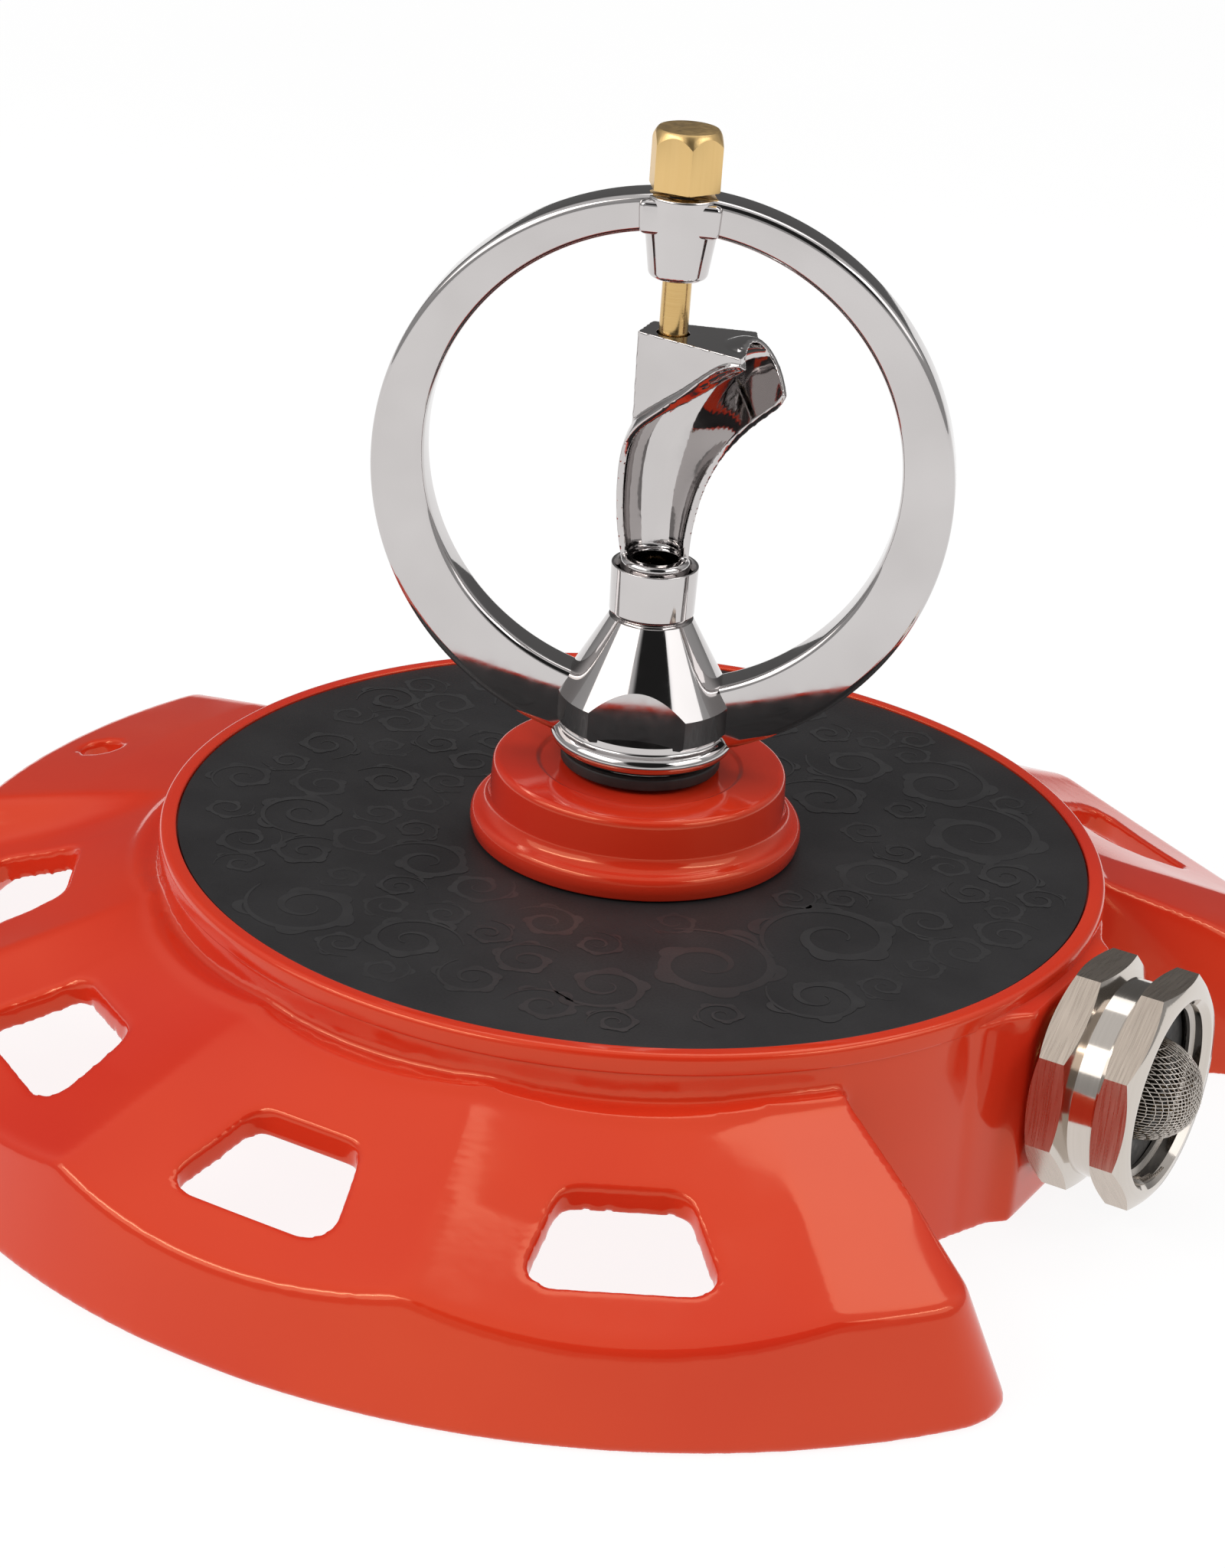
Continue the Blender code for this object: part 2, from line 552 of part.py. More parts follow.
def head_casting(finish, parent):
    """Flange, hub with two wrench flats, neck with its cup, ring and top boss in one casting."""
    head = turned("head_casting", [
        (0.0, FLANGE_Z), (0.0120, FLANGE_Z), (0.0131, 0.0501), (0.01345, 0.0509),
        (0.0133, 0.0516), (0.0125, 0.0522), (0.0119, 0.0526), (0.0119, 0.0531),
        (HUB_RADIUS - 0.0003, 0.0533), (HUB_RADIUS, 0.0537), (HUB_RADIUS, HUB_SHOULDER_Z),
        (NECK_FOOT_RADIUS + 0.0003, NECK_FOOT_Z - 0.0004), (NECK_FOOT_RADIUS, NECK_FOOT_Z),
        (NECK_RADIUS, NECK_FOOT_Z + 0.0010), (NECK_RADIUS, NECK_TOP_Z - 0.0003),
        (NECK_RADIUS - 0.0003, NECK_TOP_Z), (0.0, NECK_TOP_Z),
    ], 48, finish, parent)
    for side in (-1, 1):
        near, far = side * HUB_FLAT, side * 0.0160
        flat = prism(f"wrench_flat_{side}", [
            (-0.0160, near), (0.0160, near), (0.0160, far), (-0.0160, far),
        ], 0.0533, NECK_FOOT_Z, None, parent)
        combine(head, flat, 'DIFFERENCE')
    combine(head, ring_shape("ring_shape", None, parent), 'UNION')
    top_boss = turned("top_boss_shape", [
        (0.0, BOSS_BOTTOM_Z), (0.0040, BOSS_BOTTOM_Z), (0.0044, 0.1213), (0.0056, 0.1285),
        (0.0056, BOSS_TOP_Z - 0.0003), (0.0053, BOSS_TOP_Z), (0.0, BOSS_TOP_Z),
    ], 24, None, parent)
    combine(head, top_boss, 'UNION')
    water_way = turned("water_way_shape", [
        (0.0, 0.047), (SPINDLE_RADIUS + GAP, 0.047), (SPINDLE_RADIUS + GAP, SPINDLE_TOP_Z + GAP),
        (NOZZLE_RADIUS - 0.0008, SPINDLE_TOP_Z + GAP), (NOZZLE_RADIUS - 0.0008, 0.0655),
        (NOZZLE_RADIUS + GAP, 0.0655), (NOZZLE_RADIUS + GAP, 0.0690), (CUP_RADIUS, 0.0690),
        (CUP_RADIUS, 0.0800), (0.0, 0.0800),
    ], 24, None, parent)
    combine(head, water_way, 'DIFFERENCE')
    stem_bore = rod("stem_bore", STEM_RADIUS + GAP, 0.118, 0.135, 16, None, parent)
    combine(head, stem_bore, 'DIFFERENCE')
    clip_pocket = rod("clip_pocket", 0.0034, 0.118, 0.1222, 16, None, parent)
    combine(head, clip_pocket, 'DIFFERENCE')
    ring_pocket = rod("seal_pocket", 0.0036, 0.1300, 0.135, 16, None, parent)
    combine(head, ring_pocket, 'DIFFERENCE')
    return head


def head_pieces(finishes, parent):
    brass, steel, acetal = finishes
    turned("spindle", [
        (SPINDLE_BORE, 0.0228), (SPINDLE_RADIUS, 0.0228), (SPINDLE_RADIUS, 0.0240),
        (0.0034, 0.0240), (0.0034, 0.0255), (SPINDLE_RADIUS, 0.0255),
        (SPINDLE_RADIUS, SPINDLE_TOP_Z), (SPINDLE_BORE, SPINDLE_TOP_Z),
    ], 24, brass, parent)
    tube("spindle_clip", 0.0034 + GAP, 0.0062, 0.0243, 0.0252, 20, steel, parent)
    tube("slip_washer", SPINDLE_RADIUS + GAP, 0.0108, 0.0488, FLANGE_Z - 0.0002, 28,
         acetal, parent)
    turned("nozzle", [
        (0.0022, 0.0658), (NOZZLE_RADIUS, 0.0658), (NOZZLE_RADIUS, 0.0700),
        (0.0015, 0.0700), (0.0015, 0.0680),
    ], 20, brass, parent)


# ---------------------------------------------------------------- scoop
# Left lip, right lip, deepest point behind, and the left lip's width, in millimetres.
SCOOP_SECTIONS = [
    ((-5.0, -0.3, 77.8), (4.7, -0.3, 77.8), (-0.2, 4.7, 77.8), 1.0),
    ((-6.0, -0.5, 83.5), (4.9, -0.4, 82.6), (-0.6, 5.3, 83.4), 1.0),
    ((-6.3, -0.8, 89.8), (5.9, -0.5, 88.2), (-0.8, 5.8, 89.7), 1.0),
    ((-5.8, -1.4, 94.8), (7.3, -0.7, 92.2), (-0.2, 6.2, 95.2), 1.0),
    ((-4.2, -2.3, 98.2), (8.7, -0.9, 94.9), (1.0, 6.2, 99.2), 1.1),
    ((-0.8, -3.8, 101.6), (10.3, -1.2, 97.2), (3.2, 5.6, 103.1), 1.3),
    ((2.0, -5.1, 104.2), (11.9, -1.6, 99.2), (5.4, 4.6, 106.3), 1.8),
    ((4.7, -6.5, 107.1), (13.4, -2.0, 100.8), (7.6, 3.6, 108.8), 2.3),
    ((7.0, -7.9, 109.3), (14.8, -2.4, 102.2), (9.5, 2.6, 110.5), 2.5),
    ((8.9, -9.0, 110.4), (16.0, -2.7, 103.5), (11.1, 1.8, 111.4), 2.2),
    ((10.4, -9.4, 110.7), (16.8, -2.8, 105.1), (12.3, 1.2, 111.7), 1.3),
]
SCOOP_WALL = 1.0


def half_round(first, last, deepest, steps):
    """Points of half an ellipse from one lip to the other, in metres."""
    middle = 0.5 * (first + last)
    half = 0.5 * (first - last)
    drop = deepest - middle
    turns = [math.pi * i / steps for i in range(steps + 1)]
    return [0.001 * (middle + half * math.cos(t) + drop * math.sin(t)) for t in turns]


def scoop_arcs(section, steps):
    """Outer and inner arcs of the half-pipe, and the direction it opens away from."""
    left, right, back = (Vector(point) for point in section[:3])
    across = (right - left).normalized()
    depth = (back - 0.5 * (left + right)).normalized()
    outer = half_round(left, right, back, steps)
    inner = half_round(left + across * section[3], right - across * SCOOP_WALL,
                       back - depth * SCOOP_WALL, steps)
    return outer, inner, depth


def trough(name, finish, parent):
    bm = bmesh.new()
    rings = []
    for section in SCOOP_SECTIONS:
        outer, inner, _ = scoop_arcs(section, 12)
        rings.append([bm.verts.new(p) for p in outer + inner[::-1]])
    bridge_rings(bm, rings, close_rings=False, caps=True)
    return add_object(name, bm, finish, parent)


def stream(name, parent):
    """The water's path, which the block leaves free."""
    bm = bmesh.new()
    rings = []
    for section in SCOOP_SECTIONS:
        outer, inner, depth = scoop_arcs(section, 12)
        middle = [0.5 * (a + b) for a, b in zip(outer, inner)]
        ahead = -0.014 * depth
        rings.append([bm.verts.new(p) for p in middle + [middle[-1] + ahead, middle[0] + ahead]])
    beyond = Vector((0.0050, -0.0040, 0.0020))
    rings.append([bm.verts.new(v.co + beyond) for v in rings[-1]])
    bridge_rings(bm, rings, close_rings=False, caps=True)
    return add_object(name, bm, None, parent)


def scoop_block(name, parent):
    """Block on the stem; its underside rises to the right, behind the trough."""
    outline = [
        (-0.0049, -0.0012), (0.0103, -0.0093), (0.0122, -0.0010), (0.0114, 0.0044),
        (-0.0034, 0.0046),
    ]
    bm = bmesh.new()
    rings = []
    for top in (False, True):
        ring = []
        for x, y in outline:
            underside = 0.0960 + 0.55 * (x + 0.0049)
            ring.append(bm.verts.new((x, y, SCOOP_TOP_Z if top else underside)))
        rings.append(ring)
    bridge_rings(bm, rings, close_rings=False, caps=True)
    return add_object(name, bm, None, parent)


def scoop(finish, parent):
    """Deflector: plug in the neck's cup, curved trough, and the block on the stem."""
    body = turned("scoop", [
        (0.0, 0.0722), (0.0047, 0.0722), (0.0050, 0.0725), (0.0050, 0.0780),
        (0.0046, 0.0784), (0.0, 0.0784),
    ], 24, finish, parent)
    combine(body, trough("trough_shape", None, parent), 'UNION')
    block = scoop_block("block_shape", parent)
    combine(block, stream("stream_shape", parent), 'DIFFERENCE')
    combine(body, block, 'UNION')
    bore = rod("scoop_bore", 0.0032, 0.071, 0.0800, 16, None, parent)
    combine(body, bore, 'DIFFERENCE')
    stem_hole = rod("scoop_stem_hole", STEM_RADIUS + GAP, STEM_BOTTOM_Z - 0.0022, 0.115, 16, None,
                    parent)
    combine(body, stem_hole, 'DIFFERENCE')
    return body


# ---------------------------------------------------------------- adjusting knob
def knob_pieces(finishes, parent):
    brass, steel, rubber = finishes
    turned("adjusting_stem", [
        (0.0, STEM_BOTTOM_Z), (STEM_RADIUS - 0.0003, STEM_BOTTOM_Z),
        (STEM_RADIUS, STEM_BOTTOM_Z + 0.0004), (STEM_RADIUS, 0.1209), (0.0016, 0.1209),
        (0.0016, 0.1219), (STEM_RADIUS, 0.1219), (STEM_RADIUS, 0.1374), (0.0, 0.1374),
    ], 16, brass, parent)
    tube("stem_clip", 0.0016 + 0.00025, 0.0031, 0.1211, 0.1217, 16, steel, parent)
    tube("stem_seal", STEM_RADIUS + 0.00015, 0.0034, 0.1303, 0.1317, 16, rubber, parent)
    knob = rod("adjusting_knob", KNOB_CORNER_RADIUS, KNOB_BOTTOM_Z - 0.001, KNOB_TOP_Z + 0.001, 6,
               brass, parent, phase=KNOB_YAW)
    flat = KNOB_CORNER_RADIUS * math.cos(math.pi / 6)
    rounding = turned("knob_turned_shape", [
        (0.0, KNOB_BOTTOM_Z), (KNOB_CORNER_RADIUS + 0.0002, KNOB_BOTTOM_Z),
        (KNOB_CORNER_RADIUS + 0.0002, KNOB_TOP_Z - 0.0013), (flat - 0.0004, KNOB_TOP_Z),
        (0.0, KNOB_TOP_Z),
    ], 36, None, parent)
    combine(knob, rounding, 'INTERSECT')
    hole = rod("knob_hole", STEM_RADIUS + GAP, 0.130, 0.1377, 16, None, parent)
    combine(knob, hole, 'DIFFERENCE')
    return knob


# ---------------------------------------------------------------- assembly
def main():
    clear_scene()
    spin_axis = bpy.data.objects.new("spin_axis", None)
    spin_axis.location = (AXIS_X, 0, 0)
    bpy.context.scene.collection.objects.link(spin_axis)
    head_frame = bpy.data.objects.new("head_frame", None)
    head_frame.parent = spin_axis
    head_frame.rotation_euler = (0, 0, HEAD_YAW)
    bpy.context.scene.collection.objects.link(head_frame)

    red = (RED, 0.0, 0.22)
    charcoal = (CHARCOAL, 0.0, 0.55)
    chrome = (CHROME, 1.0, 0.06)
    brass = (BRASS, 1.0, 0.25)
    nickel = (NICKEL, 1.0, 0.28)
    rubber = (RUBBER, 0.0, 0.7)
    acetal = (ACETAL, 0.0, 0.45)
    steel = (STEEL, 1.0, 0.35)

    base_casting(red, spin_axis)
    fixed_pieces((red, charcoal, brass, rubber, acetal, steel), spin_axis)
    inlet_nut(nickel, spin_axis)
    strainer((steel, rubber), spin_axis)
    head_casting(chrome, head_frame)
    head_pieces((brass, steel, acetal), head_frame)
    scoop(chrome, head_frame)
    knob_pieces((brass, steel, rubber), head_frame)


main()
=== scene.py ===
import math
import random

import bmesh
import bpy
from mathutils import Matrix, Vector


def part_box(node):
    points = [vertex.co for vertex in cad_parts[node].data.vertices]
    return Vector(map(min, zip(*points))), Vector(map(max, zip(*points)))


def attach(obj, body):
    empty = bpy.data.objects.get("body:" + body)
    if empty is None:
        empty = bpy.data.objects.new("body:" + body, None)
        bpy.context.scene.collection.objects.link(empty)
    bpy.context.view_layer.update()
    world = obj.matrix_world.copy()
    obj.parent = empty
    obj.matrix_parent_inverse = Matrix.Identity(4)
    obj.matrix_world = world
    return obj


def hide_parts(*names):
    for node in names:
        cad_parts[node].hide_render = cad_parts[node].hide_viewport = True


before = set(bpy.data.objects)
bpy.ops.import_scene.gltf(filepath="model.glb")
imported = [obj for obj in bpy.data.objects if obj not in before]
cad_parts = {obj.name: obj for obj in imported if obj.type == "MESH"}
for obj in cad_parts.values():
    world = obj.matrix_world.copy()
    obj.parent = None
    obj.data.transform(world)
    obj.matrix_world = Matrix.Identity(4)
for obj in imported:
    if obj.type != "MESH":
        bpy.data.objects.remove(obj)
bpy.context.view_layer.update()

# ---------------------------------------------------------------- places taken from the frame
MM = 0.001
label_low, label_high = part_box("label_disc")
base_low, base_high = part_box("base_casting")
nut_low, nut_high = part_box("inlet_nut")
AXIS_X = 0.5 * (label_low.x + label_high.x)
DECK_Z = label_high.z
LABEL_RADIUS = 0.5 * (label_high.y - label_low.y)
RIM_RADIUS = 0.5 * (base_high.y - base_low.y)
INLET_Z = 0.5 * (nut_low.z + nut_high.z)
NUT_BACK_X = nut_low.x - AXIS_X
NUT_FRONT_X = nut_high.x - AXIS_X
HEAD_YAW = math.radians(23.5)
KNOB_YAW = math.radians(-17)
NUT_TURN = math.radians(18)
BASE_PLACE = Matrix.Translation((AXIS_X, 0, 0))
HEAD_PLACE = BASE_PLACE @ Matrix.Rotation(HEAD_YAW, 4, 'Z')
INLET_PLACE = BASE_PLACE @ Matrix.Translation((0, 0, INLET_Z)) @ Matrix.Rotation(math.pi / 2, 4, 'Y')


# ---------------------------------------------------------------- material helpers
class Surface:
    """A Principled material with object-space noise for tone, roughness and relief."""

    def __init__(self, name, metallic, roughness, specular=0.5):
        self.material = bpy.data.materials.new(name)
        self.material.use_nodes = True
        self.nodes = self.material.node_tree.nodes
        self.links = self.material.node_tree.links
        self.shader = self.nodes["Principled BSDF"]
        self.shader.inputs["Metallic"].default_value = metallic
        self.shader.inputs["Roughness"].default_value = roughness
        self.shader.inputs["Specular IOR Level"].default_value = specular
        self.place = self.nodes.new("ShaderNodeTexCoord").outputs["Object"]

    def noise(self, scale, stretch=(1, 1, 1), detail=3.0):
        """Output of a noise texture, about 0 to 1."""
        mapping = self.nodes.new("ShaderNodeMapping")
        mapping.inputs["Scale"].default_value = stretch
        self.links.new(self.place, mapping.inputs["Vector"])
        texture = self.nodes.new("ShaderNodeTexNoise")
        texture.inputs["Scale"].default_value = scale
        texture.inputs["Detail"].default_value = detail
        self.links.new(mapping.outputs["Vector"], texture.inputs["Vector"])
        return texture.outputs["Fac"]

    def ramp(self, factor, low, high, to_low, to_high):
        """Output that maps factor from low..high onto to_low..to_high."""
        spread = self.nodes.new("ShaderNodeMapRange")
        spread.inputs["From Min"].default_value = low
        spread.inputs["From Max"].default_value = high
        spread.inputs["To Min"].default_value = to_low
        spread.inputs["To Max"].default_value = to_high
        self.links.new(factor, spread.inputs["Value"])
        return spread.outputs["Result"]

    def tone(self, factor, dark, light, low=0.3, high=0.7):
        """Mix two base colours by a noise factor."""
        mix = self.nodes.new("ShaderNodeMix")
        mix.data_type = 'RGBA'
        mix.inputs["A"].default_value = (*dark, 1)
        mix.inputs["B"].default_value = (*light, 1)
        self.links.new(self.ramp(factor, low, high, 0, 1), mix.inputs["Factor"])
        self.links.new(mix.outputs["Result"], self.shader.inputs["Base Color"])

    def polish(self, factor, smooth, rough, low=0.3, high=0.7):
        """Vary the roughness by a noise factor."""
        self.links.new(self.ramp(factor, low, high, smooth, rough), self.shader.inputs["Roughness"])

    def relief(self, factor, depth, strength):
        """Lay a bump of the given depth in metres over any bump already there."""
        bump = self.nodes.new("ShaderNodeBump")
        bump.inputs["Distance"].default_value = depth
        bump.inputs["Strength"].default_value = strength
        self.links.new(factor, bump.inputs["Height"])
        previous = self.shader.inputs["Normal"].links
        if previous:
            self.links.new(previous[0].from_socket, bump.inputs["Normal"])
        self.links.new(bump.outputs["Normal"], self.shader.inputs["Normal"])


def red_enamel():
    """Gloss enamel with a faint orange peel and warm highlights."""
    made = Surface("red enamel", 0.0, 0.10, specular=0.8)
    made.shader.inputs["Specular Tint"].default_value = (1.0, 0.62, 0.36, 1)
    made.tone(made.noise(24, detail=2), (0.655, 0.028, 0.012), (0.700, 0.042, 0.013))
    made.polish(made.noise(160), 0.07, 0.14)
    made.relief(made.noise(420, detail=2), 0.00002, 0.5)
    return made.material


def label_film():
    """Satin charcoal overlay with a fine mottle."""
    made = Surface("charcoal label", 0.0, 0.42, specular=0.30)
    made.tone(made.noise(90, detail=6), (0.017, 0.016, 0.017), (0.026, 0.025, 0.026))
    made.polish(made.noise(2600), 0.38, 0.54)
    made.relief(made.noise(5200, detail=2), 0.00001, 0.35)
    return made.material


def label_print():
    """Ink of the scroll, a shade lighter and glossier than the film."""
    made = Surface("label scroll ink", 0.0, 0.34, specular=0.36)
    made.tone(made.noise(200, detail=4), (0.027, 0.026, 0.027), (0.038, 0.037, 0.038))
    made.polish(made.noise(2600), 0.30, 0.42)
    return made.material


def chrome_plate(name="chrome plate"):
    """Bright plate over a polished casting: nearly mirror-like, with faint waviness."""
    made = Surface(name, 1.0, 0.05)
    made.tone(made.noise(70, detail=2), (0.545, 0.520, 0.515), (0.600, 0.575, 0.570))
    made.polish(made.noise(420, detail=5), 0.035, 0.085)
    made.relief(made.noise(150, detail=1), 0.00005, 0.2)
    return made.material


def turned_metal(name, dark, light, smooth, rough, grain, depth):
    """Machined bar: fine marks running along the grain direction."""
    made = Surface(name, 1.0, smooth)
    streaks = made.noise(1.0, stretch=grain, detail=4)
    made.tone(streaks, dark, light, 0.25, 0.75)
    made.polish(streaks, smooth, rough, 0.25, 0.75)
    made.relief(streaks, depth, 0.6)
    return made.material


def moulded(name, dark, light, smooth, rough, scale, depth):
    """Rubber or plastic with a moulded grain."""
    made = Surface(name, 0.0, smooth, specular=0.4)
    made.tone(made.noise(scale * 0.1), dark, light)
    made.polish(made.noise(scale * 0.3), smooth, rough)
    made.relief(made.noise(scale), depth, 0.6)
    return made.material


RED = red_enamel()
LABEL = label_film()
SCROLL = label_print()
CHROME = chrome_plate()
SCOOP_CHROME = chrome_plate("scoop chrome")
KNOB_BRASS = turned_metal("knob brass", (0.74, 0.50, 0.21), (0.80, 0.56, 0.25), 0.30, 0.42,
                          (1200, 1200, 60), 0.000004)
BRASS = turned_metal("turned brass", (0.58, 0.38, 0.15), (0.66, 0.45, 0.19), 0.16, 0.28,
                     (200, 200, 5200), 0.000004)
NICKEL = turned_metal("nickel plate", (0.46, 0.39, 0.33), (0.58, 0.50, 0.43), 0.24, 0.34,
                      (5200, 160, 160), 0.000004)
POLISHED = turned_metal("polished nickel", (0.58, 0.53, 0.48), (0.62, 0.57, 0.52), 0.08, 0.12,
                        (2600, 40, 40), 0.000001)
THREAD = turned_metal("nickel thread", (0.40, 0.37, 0.34), (0.52, 0.48, 0.44), 0.16, 0.30,
                      (4200, 120, 120), 0.000005)
WIRE = turned_metal("strainer wire", (0.46, 0.42, 0.38), (0.66, 0.61, 0.56), 0.22, 0.36,
                    (900, 900, 900), 0.00001)
STEEL = turned_metal("stainless", (0.48, 0.48, 0.50), (0.60, 0.60, 0.62), 0.28, 0.42,
                     (200, 200, 3000), 0.00002)
RUBBER = moulded("black rubber", (0.012, 0.012, 0.012), (0.024, 0.023, 0.023), 0.45, 0.62,
                 2400, 0.00003)
ACETAL = moulded("acetal", (0.78, 0.78, 0.74), (0.86, 0.86, 0.82), 0.38, 0.52, 1600, 0.00002)


# ---------------------------------------------------------------- mesh helpers
def add_object(name, bm, surface, place, sharp_angle=35):
    """Place the bmesh, turn its faces outward and link it as a new object."""
    bmesh.ops.transform(bm, matrix=place, verts=bm.verts[:])
    bmesh.ops.recalc_face_normals(bm, faces=bm.faces[:])
    mesh = bpy.data.meshes.new(name)
    bm.to_mesh(mesh)
    bm.free()
    mesh.materials.append(surface)
    mesh.shade_smooth()
    mesh.set_sharp_from_angle(angle=math.radians(sharp_angle))
    made = bpy.data.objects.new(name, mesh)
    bpy.context.scene.collection.objects.link(made)
    return made


def settle(piece, sharp_angle=35):
    """Turn the piece's modifiers into its mesh."""
    graph = bpy.context.evaluated_depsgraph_get()
    mesh = bpy.data.meshes.new_from_object(piece.evaluated_get(graph))
    piece.modifiers.clear()
    old = piece.data
    piece.data = mesh
    mesh.name = piece.name
    bpy.data.meshes.remove(old)
    mesh.shade_smooth()
    mesh.set_sharp_from_angle(angle=math.radians(sharp_angle))
    return piece


def combine(piece, tools, operation, sharp_angle=35):
    """Cut or join with each tool, then drop the tools."""
    for tool in tools:
        modifier = piece.modifiers.new(operation, 'BOOLEAN')
        modifier.object = tool
        modifier.operation = operation
        modifier.solver = 'EXACT'
        modifier.material_mode = 'TRANSFER'
    settle(piece, sharp_angle)
    for tool in tools:
        bpy.data.objects.remove(tool, do_unlink=True)
    return piece


def recast(piece, voxel, passes):
    """Rebuild as one even skin and soften its edges, like a casting."""
    remesh = piece.modifiers.new("skin", 'REMESH')
    remesh.mode = 'VOXEL'
    remesh.voxel_size = voxel
    soften = piece.modifiers.new("soften", 'SMOOTH')
    soften.factor = 0.5
    soften.iterations = passes
    surface = piece.data.materials[0]
    settle(piece, 180)
    piece.data.materials.clear()
    piece.data.materials.append(surface)
    return piece


def break_edges(piece, width, segments):
    """Round the piece's sharp edges."""
    bevel = piece.modifiers.new("edges", 'BEVEL')
    bevel.width = width
    bevel.segments = segments
    bevel.limit_method = 'ANGLE'
    bevel.angle_limit = math.radians(28)
    bevel.harden_normals = True
    return settle(piece, 180)


def filleted(corners, steps=5):
    """Round each (a, b, setback) corner of a closed outline with a short curve."""
    outline = []
    for i, (a, b, setback) in enumerate(corners):
        here = Vector((a, b))
        before = Vector(corners[i - 1][:2]) - here
        after = Vector(corners[(i + 1) % len(corners)][:2]) - here
        reach = min(setback, 0.49 * before.length, 0.49 * after.length)
        if reach <= 0.0:
            outline.append((a, b))
            continue
        start = here + before.normalized() * reach
        end = here + after.normalized() * reach
        for k in range(steps + 1):
            t = k / steps
            outline.append(tuple(start.lerp(here, t).lerp(here.lerp(end, t), t)))
    return outline


def bridge(bm, rings, close_rings, caps):
    """Join each ring of vertices to the next, with end caps where asked."""
    count = len(rings)
    for i in range(count if close_rings else count - 1):
        first, second = rings[i], rings[(i + 1) % count]
        for j in range(len(first)):
            k = (j + 1) % len(first)
            bm.faces.new((first[j], first[k], second[k], second[j]))
    if caps:
        bm.faces.new(rings[0])
        bm.faces.new(rings[-1][::-1])


def lathe(name, profile, segments, surface, place, phase=0.0):
    """Turn (radius, height) points about the place's Z axis; radius 0 ends make it solid."""
    bm = bmesh.new()
    rings = []
    poles = []
    for radius, height in profile:
        if radius <= 0.0:
            poles.append(bm.verts.new((0, 0, height)))
            continue
        turns = [phase + 2 * math.pi * i / segments for i in range(segments)]
        rings.append([bm.verts.new((radius * math.cos(a), radius * math.sin(a), height))
                      for a in turns])
    solid = len(poles) == 2
    bridge(bm, rings, close_rings=not solid, caps=False)
    if solid:
        for pole, ring in zip(poles, (rings[0], rings[-1])):
            for i in range(segments):
                bm.faces.new((pole, ring[i], ring[(i + 1) % segments]))
    return add_object(name, bm, surface, place)


def rod(name, radius, low, high, segments, surface, place, phase=0.0):
    """Solid cylinder, or a prism where the segments are few."""
    profile = [(0.0, low), (radius, low), (radius, high), (0.0, high)]
    return lathe(name, profile, segments, surface, place, phase)


def prism(name, outline, low, high, surface, place):
    """Solid with the same (x, y) outline from low to high."""
    bm = bmesh.new()
    rings = [[bm.verts.new((x, y, z)) for x, y in outline] for z in (low, high)]
    bridge(bm, rings, close_rings=False, caps=True)
    return add_object(name, bm, surface, place)


def show(piece, body, slot, *nodes):
    """Hang the piece on the body it rides on and hide the nodes it stands for; slot is not used."""
    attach(piece, body)
    if nodes:
        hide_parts(*nodes)
    return piece


# ---------------------------------------------------------------- base casting
WALL = 2.8 * MM
DRUM_RADIUS = LABEL_RADIUS + 2.5 * MM
SECTOR = math.radians(30)
FIRST_RIDGE = math.radians(45)
RIDGED_SECTORS = 4
NOTCH_HALF = math.radians(30.6)
NOTCH_DRAFT = math.radians(194)
LEDGE_Z = 28.8 * MM
EDGE_Z = 16.5 * MM
RIM_SLOPE = 0.25
END_RADIUS = 7 * MM
DRUM_TOP_Z = 33.2 * MM
PLATE_Z = DECK_Z - 1.1 * MM
WINDOW_INNER = 82.8 * MM
WINDOW_OUTER = 97.5 * MM
WINDOW_INNER_HALF = 8.2 * MM
WINDOW_OUTER_HALF = 13.0 * MM
INLET_BORE = 9.3 * MM
RISER_BORE = 8.8 * MM
SCREW_BORE = 2.0 * MM
SCREW_CIRCLE = 13.5 * MM
STAKE_BORE = 3.2 * MM
STAKE_CIRCLE = 96 * MM
STAKE_ANGLE = math.radians(182)


def dish(angle):
    """0 on a radial ridge, 1 midway between two; flat at the pad and the notch ends."""
    sector = (abs(math.remainder(angle, 2 * math.pi)) - FIRST_RIDGE) / SECTOR
    if sector < 0.0 or sector > RIDGED_SECTORS:
        return 0.0
    step = sector % 1.0
    return 4 * step * (1 - step)


def skirt_edge(angle):
    """Radius and height of the skirt's outer top edge."""
    sector = (abs(math.remainder(angle, 2 * math.pi)) - FIRST_RIDGE) / SECTOR
    step = min(max(6 * (sector - RIDGED_SECTORS) + 1, 0.0), 1.0)
    pad = step * step * (3 - 2 * step)
    height = EDGE_Z + (4.7 * pad - 3.2 * dish(angle)) * MM
    return RIM_RADIUS - RIM_SLOPE * height, height


def skirt_section(angle, corner):
    """Closed (radius, height) outline of the solid skirt; corner pulls the rim in."""
    hollow = dish(angle)
    edge_r, edge_z = skirt_edge(angle)
    ledge_r = (71.6 + 1.6 * hollow) * MM
    ledge_z = LEDGE_Z - 0.9 * MM * hollow
    slope = (edge_z - ledge_z) / (edge_r - ledge_r)
    middle_r = 0.5 * (ledge_r + edge_r)
    middle_z = ledge_z + slope * (middle_r - ledge_r) - 0.8 * MM * hollow
    return [
        (68.0 * MM, ledge_z + 0.6 * MM),
        (70.0 * MM, ledge_z + 0.1 * MM),
        (ledge_r, ledge_z + 0.3 * MM),
        (ledge_r + 1.4 * MM, ledge_z - 0.8 * MM),
        (middle_r, middle_z),
        (edge_r - corner - 1.2 * MM, edge_z - slope * 1.2 * MM),
        (edge_r - corner, edge_z - 0.2 * MM),
        (RIM_RADIUS - corner, 0.8 * MM),
        (RIM_RADIUS - corner - 0.5 * MM, 0.0),
        (68.0 * MM, 0.0),
    ]


